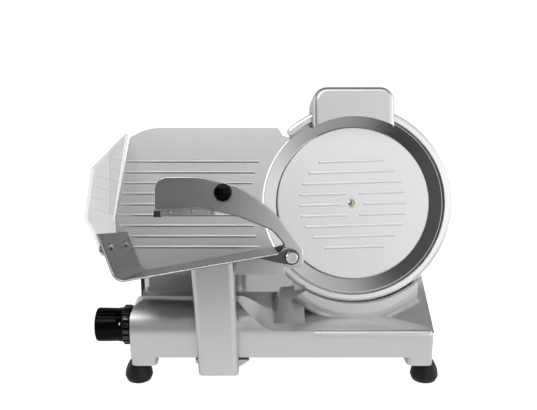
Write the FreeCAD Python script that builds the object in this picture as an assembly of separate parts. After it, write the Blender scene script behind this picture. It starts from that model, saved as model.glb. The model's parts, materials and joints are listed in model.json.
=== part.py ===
import FreeCAD, Part
import math
import os

# Gravity-feed food slicer with a 250 mm circular blade. Millimetres, +Z up, +Y away from the operator.
# Two frames are used while building: the bench frame, level with the table, and the blade frame, whose
# x runs to the operator's right, y up the blade and z out of the blade towards the operator. Both start
# at the blade's centre. The finished parts are moved so that the origin is under the middle of the whole.

V = FreeCAD.Vector

# ---- driving dimensions: blade, its cover and its ring guard -----------------------------------------
BLADE_TILT = 15.0                    # how far the blade leans back from upright, degrees
TILT_SIN, TILT_COS = math.sin(math.radians(BLADE_TILT)), math.cos(math.radians(BLADE_TILT))
BLADE_R = 125.0                      # cutting edge
BLADE_DISH = 5.0                     # depth of the blade's dished face behind the edge
BLADE_T = 3.0
BLADE_SCREWS = ((36.0, 0.0), (0.0, 36.0), (-36.0, 0.0), (0.0, -36.0))
COVER_R = 106.0                      # fixed disc in front of the blade
COVER_FRONT = 1.0
COVER_TURN = 1.8                     # the cover's ribs sit slightly turned, degrees
COVER_RIB_R, COVER_RIB_SHIFT = 73.5, -1.5
COVER_RIB_GAPS = {-1: 10.0, 0: 17.0, 1: 10.0}            # ribs broken around the centre bolt
RIB_PITCH = 15.0                     # spacing of the raised ribs on the cover and the gauge plate
RIB_R = 2.2                          # rounded section of one rib
RIB_HEIGHT = 1.6
SPINDLE_R = 10.0
RUN_CLEAR = 0.05                     # radial clearance of every running fit
RING_IN_R, RING_OUT_R = 127.5, 138.0
RING_FRONT, RING_BACK = 2.0, -8.0
RING_TIP_TOP, RING_TIP_LOW = 131.0, 225.5                # where the ring guard ends, degrees

# ---- base, its feet and the knob housing --------------------------------------------------------------
TABLE_Z = -224.0
DECK_Z = -146.0                      # top of the base's front edge
SOLE_Z = -183.0                      # underside of the base
LEG_Z = -195.0                       # underside of the four short legs
SLIDER_Z = -191.5                    # underside of the carriage slider
BASE_X0, BASE_X1 = -301.0, 98.0
BASE_Y0, BASE_Y1 = -110.0, 150.0
WALL = 5.0
LEG_W, LEG_D = 34.0, 36.0
FOOT_R, FOOT_TOP_R, FOOT_SCREW_R = 18.5, 11.0, 3.0
FOOT_PLACES = ((-294.0, -91.0), (91.5, -91.0), (-293.0, 131.0), (91.5, 131.0))
PLATE_SCREWS = tuple((x, y) for x in (-270.0, -95.0, 84.0) for y in (4.0, 104.0))
THREAD_R = 1.7                       # small screws of the covers, panel and deflector
HOUSING_R = 38.0                     # rounded knob housing along the front of the base
HOUSING_CORNER_R = 16.0
REAR_Y, REAR_DECK_Z = 12.0, -132.0   # front and top of the rear part of the base
ELECTRIC_X0, ELECTRIC_X1, ELECTRIC_Z = -300.0, -150.0, -100.0    # raised electrical housing
RIGHT_RISE_X, RIGHT_RISE_Y = 0.41, 0.554   # how the deck climbs to the upright at its right end
TOWER_X0, TOWER_X1 = -82.0, 97.0
TOWER_BACK, TOWER_FRONT = -40.0, -8.0
APRON_V, APRON_R, APRON_FRONT = -39.0, 128.0, 22.0

# ---- motor and its cover ------------------------------------------------------------------------------
PULLEY_R = 70.0
MOTOR_U, MOTOR_V, MOTOR_R = 40.0, -82.0, 42.0            # motor axis in the blade frame
MOTOR_PULLEY_R, MOTOR_SHAFT_R = 11.0, 4.0
MOTOR_WELL_X0 = -14.0
COVER_U0, COVER_U1, COVER_V1, COVER_W0 = -22.0, 96.0, -26.0, -168.0
DEFLECTOR_T, DEFLECTOR_SCREWS = 2.0, (-22.0, 22.0)

# ---- thickness knob, its cam and the gauge plate ------------------------------------------------------
KNOB_Y, KNOB_Z = -72.0, -152.0       # axis of the thickness knob, along X
KNOB_R, KNOB_SKIRT_R, KNOB_LEN = 23.0, 26.0, 50.5
KNOB_SHAFT_R, KNOB_BUSH_R = 5.0, 8.0
CAM_X0, CAM_X1, CAM_R = -285.0, -277.0, 31.0
CAM_TURN = 300.0                     # knob travel, degrees
CAM_PIN_R, CAM_PIN_R0 = 2.0, 12.0    # follower pin, and the groove's radius at zero thickness
CAM_V = KNOB_Y * TILT_SIN + KNOB_Z * TILT_COS            # knob axis in the blade frame
CAM_PIN_W = KNOB_Z * TILT_SIN - KNOB_Y * TILT_COS - CAM_PIN_R0
GAUGE_TRAVEL = 14.0                  # slice thickness at full knob travel
GAUGE_U, GAUGE_V = -205.0, -130.0    # gauge guide rod in the blade frame
GAUGE_ROD_R, GAUGE_BUSH_R = 8.0, 11.0
GAUGE_BUSH_W0, GAUGE_BUSH_W1 = -88.0, -48.0
GAUGE_RIB_V, GAUGE_RIBS = 58.5, 9    # top rib, and how many there are
GAUGE_SCREWS = ((-217.0, -62.0), (-193.0, -62.0), (-217.0, -86.0), (-193.0, -86.0))
GAUGE_SCREW_R = 2.5

# ---- carriage: guide, slider, arm, tray, clear guard and press ----------------------------------------
GUIDE_Y, GUIDE_Z, GUIDE_R = -84.0, -166.0, 9.0
GUIDE_ENDS = ((-274.0, -265.0), (83.0, 94.0))
RAIL_Y0, RAIL_Y1, RAIL_Z0, RAIL_Z1 = -58.0, -46.0, -178.0, -172.0
RAIL_ENDS = ((-272.0, -262.0), (83.0, 90.0))
SLIDER_X0, SLIDER_X1 = -215.0, -155.0
SLIDER_TOP, SLIDER_PLATE_Z = -151.0, -188.0
SLIDER_BUSH_R = 12.0
ARM_Y0, ARM_Y1, ARM_WALL = -142.0, -114.0, 4.0
ARM_TOP_X, ARM_BOTTOM_X, ARM_BOTTOM_Z = (-219.0, -165.5), (-209.5, -158.0), -196.0
ARM_SCREW_X, ARM_SCREW_R = (-198.0, -170.0), 2.5
TRAY_W0, TRAY_W1 = 6.0, 191.0        # tray depth along the blade's axis
TRAY_T = 2.5
TRAY_TOP, TRAY_CORNER, TRAY_END = (-317.5, -41.0), (-296.0, -96.5), (-111.0, -64.0)
ROD_U, ROD_V, ROD_R = -96.0, -66.5, 5.0                  # press rod in the blade frame
LUGS = ((8.0, 14.0), (183.0, 190.0)) # press rod lugs along the blade's axis
GUARD_T, GUARD_W0 = 4.0, 18.0
GUARD_ELBOW, GUARD_TOP = (-327.5, -23.0), (-311.0, 94.0)
GUARD_CHAMFER_V = 34.0
GUARD_BOLT_W, GUARD_BOLT_DROP, GUARD_BOLT_R = (50.0, 150.0), 17.0, 2.1
PUSHER_W0, PUSHER_W1 = 168.0, 173.0
PUSHER_SLEEVE_R = 7.5
PUSHER_KNOB, PUSHER_STUD_R = (-174.0, 7.1), 2.5

# ---- sharpener, switches and cord inlet ---------------------------------------------------------------
SHARP_U0, SHARP_U1 = -57.5, 55.5
SHARP_V0, SHARP_V1 = 104.0, 160.0
SHARP_W0, SHARP_W1 = -50.0, 20.0
SHARP_WALL, SHARP_EDGE_R = 2.5, 8.0
POST_U, POST_W, POST_R = -1.0, -27.0, 6.0                # post that the sharpener lifts on
STONE_R, STONE_U, STONE_V = 18.0, (-31.0, 29.0), 134.0
STONE_W0, STONE_W1, STONE_ROD_R = -32.0, -24.0, 3.0
BUTTON_R, BUTTON_Z, BUTTON_Y = 10.0, -126.0, (76.0, 100.0)
PANEL_X0, PANEL_Y0, PANEL_Y1 = -309.0, 40.0, 136.0
PANEL_Z0, PANEL_Z1 = -160.0, -96.0
PANEL_SCREWS = ((48.0, -126.0), (128.0, -126.0))
INLET_X, INLET_Z, INLET_R = -240.0, -140.0, 7.0



# ---- helpers ------------------------------------------------------------------------------------------
def box(x0, x1, y0, y1, z0, z1):
    return Part.makeBox(x1 - x0, y1 - y0, z1 - z0, V(x0, y0, z0))


def rod(radius, start, end):
    start, end = V(*start), V(*end)
    return Part.makeCylinder(radius, (end - start).Length, start, end - start)


def ring(r_in, r_out, z0, z1, x=0.0, y=0.0):
    return rod(r_out, (x, y, z0), (x, y, z1)).cut(rod(r_in, (x, y, z0), (x, y, z1)))


def join(shapes):
    shapes = list(shapes)
    return shapes[0].fuse(shapes[1:]).removeSplitter() if len(shapes) > 1 else shapes[0]


def outline(corners):
    """Closed face in the XY plane from corners (x, y) or (x, y, radius), each rounded by its radius."""
    points = [V(c[0], c[1], 0) for c in corners]
    radii = [c[2] if len(c) > 2 else 0.0 for c in corners]
    starts, ends, middles = [], [], []
    for i, point in enumerate(points):
        before = (points[i - 1] - point).normalize()
        after = (points[(i + 1) % len(points)] - point).normalize()
        half = before.getAngle(after) / 2
        reach = radii[i] / math.tan(half)
        starts.append(point + before * reach)
        ends.append(point + after * reach)
        centre_way = (before + after).normalize()
        middles.append(point + centre_way * (radii[i] / math.sin(half) - radii[i]))
    edges = []
    for i in range(len(points)):
        if radii[i] > 0:
            edges.append(Part.Arc(starts[i], middles[i], ends[i]).toShape())
        following = starts[(i + 1) % len(points)]
        if (following - ends[i]).Length > 1e-6:
            edges.append(Part.makeLine(ends[i], following))
    return Part.Face(Part.Wire(edges))


def prism(corners, z0, z1):
    face = outline(corners)
    face.translate(V(0, 0, z0))
    return face.extrude(V(0, 0, z1 - z0))


def sheet(points, thickness, radius, z0, z1):
    """Bent sheet: the polyline is its right-hand side and the sheet grows to the left of it."""
    line = [V(p[0], p[1], 0) for p in points]
    normals = []
    for a, b in zip(line, line[1:]):
        way = (b - a).normalize()
        normals.append(V(-way.y, way.x, 0))
    inner = [line[0] + normals[0] * thickness]
    for i in range(1, len(line) - 1):
        mean = (normals[i - 1] + normals[i]).normalize()
        inner.append(line[i] + mean * (thickness / mean.dot(normals[i])))
    inner.append(line[-1] + normals[-1] * thickness)
    corners = []
    for i, point in enumerate(line):
        bend = 0 < i < len(line) - 1
        left_turn = bend and normals[i - 1].cross(normals[i]).z > 0
        outer_radius = radius + thickness if left_turn else radius
        corners.append((point.x, point.y, outer_radius if bend else 0.0))
    for i in range(len(line) - 1, -1, -1):
        bend = 0 < i < len(line) - 1
        left_turn = bend and normals[i - 1].cross(normals[i]).z > 0
        inner_radius = radius if left_turn else radius + thickness
        corners.append((inner[i].x, inner[i].y, inner_radius if bend else 0.0))
    return prism(corners, z0, z1)


def revolve(profile):
    """Full turn of a profile of (radius, height) corners about the Z axis."""
    wire = Part.makePolygon([V(r, 0, z) for r, z in profile] + [V(profile[0][0], 0, profile[0][1])])
    return Part.Face(wire).revolve(V(0, 0, 0), V(0, 0, 1), 360)


def along_x(shape, x=0.0, y=0.0, z=0.0):
    """Turn a part built up the Z axis so that it points along +X from (x, y, z)."""
    shape = shape.copy()
    turn = FreeCAD.Rotation(V(0, 1, 0), 90)
    shape.Placement = FreeCAD.Placement(V(x, y, z), turn).multiply(shape.Placement)
    return shape


def side_profile(corners, x0, x1):
    """Prism of a (y, z) outline between two values of x."""
    shape = prism(corners, x0, x1)
    turn = FreeCAD.Rotation(V(1, 1, 1), 120)
    shape.Placement = FreeCAD.Placement(V(0, 0, 0), turn).multiply(shape.Placement)
    return shape


def front_profile(corners, y0, y1):
    """Prism of an (x, z) outline between two values of y."""
    shape = prism(corners, -y1, -y0)
    turn = FreeCAD.Rotation(V(1, 0, 0), 90)
    shape.Placement = FreeCAD.Placement(V(0, 0, 0), turn).multiply(shape.Placement)
    return shape


def lean(shape):
    """Carry a part from the blade frame to the bench frame."""
    shape = shape.copy()
    turn = FreeCAD.Rotation(V(1, 0, 0), 90 - BLADE_TILT)
    shape.Placement = FreeCAD.Placement(V(0, 0, 0), turn).multiply(shape.Placement)
    return shape


def rib(x0, x1, y, z):
    """Raised rounded rib along x with ball ends, standing RIB_HEIGHT above the surface at z."""
    centre_z = z + RIB_HEIGHT - RIB_R
    bar = rod(RIB_R, (x0, y, centre_z), (x1, y, centre_z))
    balls = [Part.makeSphere(RIB_R, V(x, y, centre_z)) for x in (x0, x1)]
    whole = bar.fuse(balls)
    return whole.common(box(x0 - RIB_R, x1 + RIB_R, y - RIB_R, y + RIB_R, z - 0.4, z + RIB_HEIGHT))


def pan_screw(r, length, point, way, head_r, head_h):
    """Pan-head screw whose head bears on the point and whose shank runs the opposite way."""
    point, way = V(*point), V(*way).normalize()
    shank = Part.makeCylinder(r, length, point - way * length, way)
    head = Part.makeCylinder(head_r, head_h, point, way)
    socket = Part.makeCylinder(0.45 * head_r, 0.6 * head_h, point + way * (0.4 * head_h), way)
    return shank.fuse(head).cut(socket)


def round_edges(shape, radius, chosen):
    edges = [e for e in shape.Edges if chosen(e)]
    return shape.makeFillet(radius, edges) if edges else shape


def edge_along(edge, axis, **limits):
    """Straight edge along an axis whose middle lies within limits such as x=(0, 10)."""
    if edge.Curve.TypeId != "Part::GeomLine":
        return False
    way = edge.tangentAt(edge.FirstParameter)
    if abs(abs(way.dot(axis)) - 1) > 1e-4:
        return False
    middle = edge.BoundBox.Center
    return all(lo - 1e-3 <= getattr(middle, k) <= hi + 1e-3 for k, (lo, hi) in limits.items())


# ---- base ---------------------------------------------------------------------------------------------
def front_housing(grow):
    """Rounded knob housing that sweeps down to the deck on the right; grow < 0 gives its hollow."""
    top = KNOB_Z + HOUSING_R + grow
    y0, back = BASE_Y0 - grow, KNOB_Y + HOUSING_R + grow
    low = SOLE_Z - 1 if grow < 0 else SOLE_Z
    corner_r = HOUSING_R - 1 + grow
    left, deck = BASE_X0 - grow, DECK_Z + grow
    swept = front_profile([(left, low), (left, top, HOUSING_CORNER_R + grow), (-160 + grow, top, 22),
                           (-119 + grow, deck, 45), (-60, deck), (-60, low)], y0, back)
    rounded = side_profile([(y0, low), (y0, top, corner_r), (back, top, corner_r), (back, low)],
                           BASE_X0, -60)
    return swept.common(rounded)


def tower_outline():
    """Upright behind the blade: a flat-sided column that ends in the round bowl behind the blade."""
    column = box(TOWER_X0, TOWER_X1, -212, -95, TOWER_BACK, TOWER_FRONT)
    bowl = rod(RING_OUT_R, (0, 0, TOWER_BACK), (0, 0, TOWER_FRONT)).common(
        box(TOWER_X0 - 6, 150, -150, 150, TOWER_BACK, TOWER_FRONT))
    return column.fuse(bowl)


def apron():
    """Crescent that flares out under the ring guard, its front edge well rounded."""
    depth = APRON_FRONT - TOWER_FRONT
    crescent = Part.makeCylinder(APRON_R, depth, V(0, APRON_V, TOWER_FRONT))
    crescent = round_edges(crescent, 15.0, lambda e: abs(e.BoundBox.ZMin - APRON_FRONT) < 1e-3
                           and e.BoundBox.ZLength < 1e-3)
    crescent = crescent.cut(rod(RING_OUT_R + 1.0, (0, 0, -50), (0, 0, 50)))
    open_end = prism([(-115, -152.4), (-50, -108.7), (-50, -80), (-115, -80)], -60, 60)
    return crescent.common(box(-86, 86, -200, -90, -50, 50)).cut(open_end)


def deck_slope(x0, x1, point, rise_x, rise_y, y1, top_z):
    """Block on the deck whose upper face is a plane through point, rising along x and y."""
    block = box(x0, x1, BASE_Y0 + 4, y1, DECK_Z - 4, top_z)
    above = Part.makeBox(800, 800, 400, V(-400, -400, 0))
    above.Placement = FreeCAD.Placement(V(*point), FreeCAD.Rotation(V(0, 0, 1), V(-rise_x, -rise_y, 1)))
    return block.cut(above)


def base_casting():
    deck = box(BASE_X0, BASE_X1, BASE_Y0, REAR_Y, SOLE_Z, DECK_Z)
    deck = round_edges(deck, 8.0, lambda e: edge_along(e, V(0, 0, 1), y=(BASE_Y0, BASE_Y0)))
    deck = round_edges(deck, 8.0, lambda e: edge_along(e, V(1, 0, 0), y=(BASE_Y0, BASE_Y0),
                                                       z=(DECK_Z, DECK_Z)))
    rear = box(ELECTRIC_X0, BASE_X1, REAR_Y - 12, BASE_Y1, SOLE_Z, REAR_DECK_Z)
    rear = round_edges(rear, 14.0, lambda e: edge_along(e, V(0, 0, 1), y=(BASE_Y1, BASE_Y1)))
    electric = box(ELECTRIC_X0, ELECTRIC_X1, REAR_Y, BASE_Y1, SOLE_Z, ELECTRIC_Z)
    electric = round_edges(electric, 12.0, lambda e: edge_along(e, V(0, 0, 1)))
    electric = round_edges(electric, 4.0, lambda e: abs(e.BoundBox.ZMin - ELECTRIC_Z) < 1e-3)
    legs = []
    for x0 in (BASE_X0, BASE_X1 - LEG_W):
        for y0, y1 in ((BASE_Y0, BASE_Y0 + LEG_D), (BASE_Y1 - LEG_D, BASE_Y1)):
            shift = ELECTRIC_X0 - BASE_X0 if x0 == BASE_X0 and y1 == BASE_Y1 else 0
            leg = box(x0 + shift, x0 + shift + LEG_W, y0, y1, LEG_Z, SOLE_Z + 5)
            legs.append(round_edges(leg, 8.0, lambda e: edge_along(e, V(0, 0, 1))))
    foot = (BASE_X1, BASE_Y0 + 4, DECK_Z - 4)
    right_slope = deck_slope(36, BASE_X1, foot, RIGHT_RISE_X, RIGHT_RISE_Y, 4, -99)
    left_slope = deck_slope(-114, -70, (0, -84, DECK_Z), 0, 0.42, -14, -118).common(
        deck_slope(-116, -68, (-113, 0, DECK_Z), 2.2, 0, 0, -100))
    bulk = join([deck, front_housing(0.0), rear, electric, lean(tower_outline()), lean(apron()), right_slope,
                 left_slope])
    bulk = bulk.common(box(-400, 200, BASE_Y0 - 1, BASE_Y1 + 1, SOLE_Z, 200))

    floor, in_y1 = SOLE_Z - 1, BASE_Y1 - WALL
    hollows = [front_housing(-WALL),
               box(-64, BASE_X1 - WALL, BASE_Y0 + WALL, in_y1, floor, DECK_Z - WALL),
               box(-200, -60, BASE_Y0 + WALL, in_y1, floor, DECK_Z - WALL),
               box(ELECTRIC_X0 + WALL, -60, KNOB_Y, in_y1, floor, DECK_Z - WALL),
               box(ELECTRIC_X0 + WALL, ELECTRIC_X1 - WALL, REAR_Y + WALL, in_y1, floor, ELECTRIC_Z - WALL),
               box(ELECTRIC_X0 + WALL, TOWER_X0 - 2, REAR_Y - 8, REAR_Y, DECK_Z - WALL - 1, REAR_DECK_Z - 4),
               box(ELECTRIC_X1 + 4, MOTOR_WELL_X0 - 5, REAR_Y + 4, in_y1, floor, REAR_DECK_Z - WALL),
               box(MOTOR_WELL_X0, TOWER_X1 - 5, REAR_Y - 4, BASE_Y1 - 14, floor, REAR_DECK_Z + 1)]
    under = (BASE_X1, BASE_Y0 + 4, DECK_Z - 4 - 1.4 * WALL)
    hollows.append(deck_slope(44, BASE_X1 - WALL, under, RIGHT_RISE_X, RIGHT_RISE_Y, -40, -99))
    hollow_tower = box(TOWER_X0 + 7, TOWER_X1 - 7, -230, -122, TOWER_BACK + 6, TOWER_FRONT - 6)
    belt_bowl = rod(RING_OUT_R - 24, (0, 0, TOWER_BACK + 6), (0, 0, TOWER_FRONT + 1)).common(
        box(TOWER_X0 + 2, 150, -150, 150, -50, 50))
    sharpener_gap = box(-54, 52, 98, 150, TOWER_BACK - 1, TOWER_FRONT + 1)
    motor_hole = rod(26.0, (MOTOR_U, MOTOR_V, TOWER_BACK - 1), (MOTOR_U, MOTOR_V, TOWER_BACK + 7))
    spindle_hole = rod(SPINDLE_R, (0, 0, TOWER_BACK - 1), (0, 0, 0))
    post_hole = rod(POST_R, (POST_U, 80, POST_W), (POST_U, 150, POST_W))
    ring_seat = rod(RING_OUT_R + 0.5, (0, 0, TOWER_FRONT), (0, 0, 70))
    local_cuts = [ring_seat, hollow_tower, belt_bowl, sharpener_gap, motor_hole, spindle_hole]
    bulk = bulk.cut(hollows + [lean(s) for s in local_cuts])

    post_block = box(POST_U - 12, POST_U + 12, 84, 98, TOWER_BACK, TOWER_BACK + 24).fuse(
        box(POST_U - 12, POST_U + 12, 80, 98, TOWER_BACK, TOWER_BACK + 6))
    spindle_boss = ring(SPINDLE_R, 17.0, TOWER_BACK, TOWER_BACK + 10)
    gauge_boss = ring(GAUGE_BUSH_R, GAUGE_BUSH_R + 6, GAUGE_BUSH_W0, GAUGE_BUSH_W1, GAUGE_U, GAUGE_V)
    gauge_strut = box(GAUGE_U - 5, GAUGE_U + 5, GAUGE_V + GAUGE_BUSH_R + 3, GAUGE_V + 45,
                      GAUGE_BUSH_W0, GAUGE_BUSH_W1)
    gauge_strut = lean(gauge_strut).common(box(-400, 0, REAR_Y, BASE_Y1, SOLE_Z, ELECTRIC_Z - 1))
    gauge_boss = lean(gauge_boss).common(box(-400, 0, REAR_Y, BASE_Y1, SOLE_Z, ELECTRIC_Z + 20))
    ends = [along_x(ring(GUIDE_R, GUIDE_R + 5, x0, x1), 0, GUIDE_Y, GUIDE_Z) for x0, x1 in GUIDE_ENDS]
    webs = [box(x0, x1, BASE_Y0 + 1, GUIDE_Y - GUIDE_R - 1, GUIDE_Z - 10, GUIDE_Z + 12)
            for x0, x1 in GUIDE_ENDS]
    webs.append(box(*GUIDE_ENDS[1], GUIDE_Y - 10, GUIDE_Y + 10, GUIDE_Z + GUIDE_R + 2, DECK_Z - 1))
    rail_ends = []
    for x0, x1 in RAIL_ENDS:
        block = box(x0, x1, RAIL_Y0 - 14, RAIL_Y1 + 4, RAIL_Z0 - 4, RAIL_Z1 + 5)
        rail_slot = box(x0 - 1, x1 + 1, RAIL_Y0, RAIL_Y1, RAIL_Z0, RAIL_Z1)
        rod_slot = rod(GUIDE_R, (x0 - 1, GUIDE_Y, GUIDE_Z), (x1 + 1, GUIDE_Y, GUIDE_Z))
        rail_ends.append(block.cut([rail_slot, rod_slot]))
    screw_posts = []
    for x, y in PLATE_SCREWS:
        roof_z = REAR_DECK_Z if x > ELECTRIC_X1 and y > REAR_Y else DECK_Z
        screw_posts.append(rod(5.0, (x, y, SOLE_Z), (x, y, roof_z - WALL + 1)))
    for x0, x1 in ((ELECTRIC_X0 + 1, -270), (84, BASE_X1 - 1)):
        screw_posts.append(box(x0, x1, 99, 109, SOLE_Z, SOLE_Z + 20))
    bulk = join([bulk, lean(post_block.cut(post_hole))] + screw_posts)
    bulk = join([bulk, lean(spindle_boss)] + legs + ends + webs + rail_ends)
    bulk = join([bulk, gauge_strut, gauge_boss])

    gauge_hole = rod(GAUGE_BUSH_R, (GAUGE_U, GAUGE_V, -140), (GAUGE_U, GAUGE_V, -10))
    bracket_slot = box(GAUGE_U - 24, GAUGE_U + 24, -50, REAR_Y - 3, DECK_Z - WALL - 1, DECK_Z + 30)
    knob_hole = rod(KNOB_BUSH_R, (BASE_X0 - 1, KNOB_Y, KNOB_Z), (BASE_X0 + 14, KNOB_Y, KNOB_Z))
    foot_holes = [rod(FOOT_SCREW_R, (x, y, LEG_Z - 1), (x, y, SOLE_Z + 6)) for x, y in FOOT_PLACES]
    button_window = box(ELECTRIC_X0 - 1, ELECTRIC_X0 + WALL + 1, 66, 110, -140, -112)
    inlet_hole = rod(INLET_R, (INLET_X, BASE_Y1 - 8, INLET_Z), (INLET_X, BASE_Y1 + 1, INLET_Z))
    screw_holes = [rod(THREAD_R, (x, y, SOLE_Z - 1), (x, y, SOLE_Z + 8)) for x, y in PLATE_SCREWS]
    screw_holes += [rod(THREAD_R, (ELECTRIC_X0 - 1, y, z), (ELECTRIC_X0 + WALL + 1, y, z))
                    for y, z in PANEL_SCREWS]
    screw_holes += [lean(rod(THREAD_R, (TOWER_X0 - 7, v, -26), (TOWER_X0, v, -26)))
                    for v in DEFLECTOR_SCREWS]
    cam_room = rod(CAM_R + 1.5, (CAM_X0 - 2, KNOB_Y, KNOB_Z), (CAM_X1 + 2, KNOB_Y, KNOB_Z))
    holes = [lean(gauge_hole), bracket_slot, knob_hole, button_window, inlet_hole, cam_room]
    return bulk.cut(holes + foot_holes + screw_holes)


def base_bottom_plate():
    plate = box(-280, 92, -18, BASE_Y1 - LEG_D - 2, SOLE_Z - 1.5, SOLE_Z)
    return plate.cut([rod(THREAD_R, (x, y, SOLE_Z - 2), (x, y, SOLE_Z + 1)) for x, y in PLATE_SCREWS])


def foot(x, y):
    dome_foot, dome_top = V(FOOT_R, 0, TABLE_Z + 8), V(FOOT_TOP_R, 0, LEG_Z)
    dome = Part.Arc(dome_foot, (dome_foot + dome_top) / 2 + V(1.6, 0, 0.5), dome_top).toShape()
    flat = Part.makePolygon([dome_top, V(0, 0, LEG_Z), V(0, 0, TABLE_Z), V(FOOT_R - 6, 0, TABLE_Z),
                             V(FOOT_R - 2.5, 0, TABLE_Z + 2),
                             dome_foot])
    bell = Part.Face(Part.Wire([dome] + flat.Edges)).revolve(V(0, 0, 0), V(0, 0, 1), 360)
    bell = bell.cut(rod(7.0, (0, 0, TABLE_Z - 1), (0, 0, TABLE_Z + 12)))
    bell = bell.cut(rod(FOOT_SCREW_R, (0, 0, TABLE_Z), (0, 0, LEG_Z + 1)))
    bell.translate(V(x, y, 0))
    return bell


def foot_screws():
    return Part.makeCompound([pan_screw(FOOT_SCREW_R, 32, (x, y, TABLE_Z + 12), (0, 0, -1), 5.5, 3.5)
                              for x, y in FOOT_PLACES])


def m4_screws():
    """Small pan screws of the covers, panel and deflector, all of one size."""
    def small_screw(point, way):
        return pan_screw(THREAD_R, 8, point, way, 1.9 * THREAD_R, 1.1 * THREAD_R)
    deflector_face = TOWER_X0 - 6 - DEFLECTOR_T
    screws = [small_screw((x, y, SOLE_Z - 1.5), (0, 0, -1)) for x, y in PLATE_SCREWS]
    screws += [small_screw((PANEL_X0, y, z), (-1, 0, 0)) for y, z in PANEL_SCREWS]
    screws += [lean(small_screw((deflector_face, v, -26), (-1, 0, 0))) for v in DEFLECTOR_SCREWS]
    return Part.makeCompound(screws)


# ---- blade, its drive and its guards ------------------------------------------------------------------
def blade():
    """Dished disc: the edge stands forward of the web, which leaves room for the fixed cover."""
    web = -BLADE_DISH
    profile = [(12.5, web - BLADE_T), (COVER_R + 4, web - BLADE_T), (BLADE_R - 3, -4.0), (BLADE_R, -0.4),
               (BLADE_R, 0.0), (BLADE_R - 0.6, 0.0), (COVER_R + 0.5, web + 1), (COVER_R - 1, web),
               (12.5, web)]
    disc = revolve(profile)
    return disc.cut([rod(2.6, (x, y, -20), (x, y, 1)) for x, y in BLADE_SCREWS])


def blade_pulley():
    back = -26.0
    rim_r = PULLEY_R - 8
    profile = [(15.0, back), (26.0, back), (30.0, back + 4), (rim_r, back + 4), (rim_r, back),
               (PULLEY_R, back), (PULLEY_R, -12.5), (rim_r, -12.5), (rim_r, -15.0), (50.0, -15.0),
               (50.0, -BLADE_DISH - BLADE_T), (15.0, -BLADE_DISH - BLADE_T)]
    pulley = revolve(profile)
    return pulley.cut([rod(2.0, (x, y, -20), (x, y, 1)) for x, y in BLADE_SCREWS])


def blade_bearings():
    return Part.makeCompound([ring(SPINDLE_R + RUN_CLEAR, 15.0, z, z + 7) for z in (-25.0, -16.0)])


def blade_screws():
    return Part.makeCompound([pan_screw(2.0, 9, (x, y, -BLADE_DISH), (0, 0, 1), 3.4, 1.2)
                              for x, y in BLADE_SCREWS])


def blade_spindle():
    shaft = rod(SPINDLE_R, (0, 0, TOWER_BACK - 4), (0, 0, -9)).fuse(rod(8.0, (0, 0, -9), (0, 0, -3)))
    flange = rod(15.0, (0, 0, TOWER_BACK - 4), (0, 0, TOWER_BACK))
    return shaft.fuse(flange).cut(rod(2.5, (0, 0, -20), (0, 0, 0))).removeSplitter()


def blade_cover():
    disc = revolve([(0, -3), (COVER_R - 1, -3), (COVER_R, -2), (COVER_R, COVER_FRONT - 1.2),
                    (COVER_R - 1.2, COVER_FRONT), (0, COVER_FRONT)])
    hollow = ring(14.0, COVER_R - 6, -4, COVER_FRONT - 2)
    ribs = []
    for i in range(-4, 5):
        y = i * RIB_PITCH + COVER_RIB_SHIFT
        reach = math.sqrt(COVER_RIB_R ** 2 - y ** 2)
        gap = COVER_RIB_GAPS.get(i, 0.0)
        spans = [(-reach, -gap), (gap, reach)] if gap else [(-reach, reach)]
        ribs += [rib(x0, x1, y, COVER_FRONT) for x0, x1 in spans]
    bolt_hole = rod(2.8, (0, 0, -5), (0, 0, 5))
    bolt_seat = rod(7.0, (0, 0, COVER_FRONT - 1.5), (0, 0, 5))
    whole = disc.cut([hollow, bolt_hole, bolt_seat]).fuse(ribs)
    whole.rotate(V(0, 0, 0), V(0, 0, 1), COVER_TURN)
    return whole


def blade_cover_bolt():
    seat = COVER_FRONT - 1.5
    profile = [(0, seat), (6.8, seat), (6.8, seat + 1.6), (5.4, seat + 3.0), (0, seat + 3.4)]
    head = revolve(profile).fuse(rod(2.5, (0, 0, -18), (0, 0, seat + 0.5)))
    turns = [math.radians(60 * k) for k in range(6)]
    socket = prism([(2.4 * math.cos(a), 2.4 * math.sin(a)) for a in turns], seat + 1, seat + 5)
    return head.cut(socket)


def blade_ring_guard():
    """Open ring around the cutting edge; the rounded ends stop where the slice passes."""
    band = revolve([(RING_IN_R, RING_BACK), (RING_OUT_R, RING_BACK), (RING_OUT_R, RING_FRONT - 3),
                    (RING_OUT_R - 1.5, RING_FRONT - 0.6), (RING_OUT_R - 4, RING_FRONT),
                    (RING_IN_R + 1, RING_FRONT), (RING_IN_R, RING_FRONT - 1)])
    middle_r = (RING_IN_R + RING_OUT_R) / 2
    mouth = [(0, 0)]
    for angle in (RING_TIP_TOP, 180, RING_TIP_LOW):
        mouth.append((400 * math.cos(math.radians(angle)), 400 * math.sin(math.radians(angle))))
    band = band.cut(prism(mouth, -20, 20))
    for angle in (RING_TIP_TOP, RING_TIP_LOW):
        x, y = middle_r * math.cos(math.radians(angle)), middle_r * math.sin(math.radians(angle))
        band = band.fuse(rod((RING_OUT_R - RING_IN_R) / 2, (x, y, RING_BACK), (x, y, RING_FRONT - 0.6)))
    return band.removeSplitter()


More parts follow.
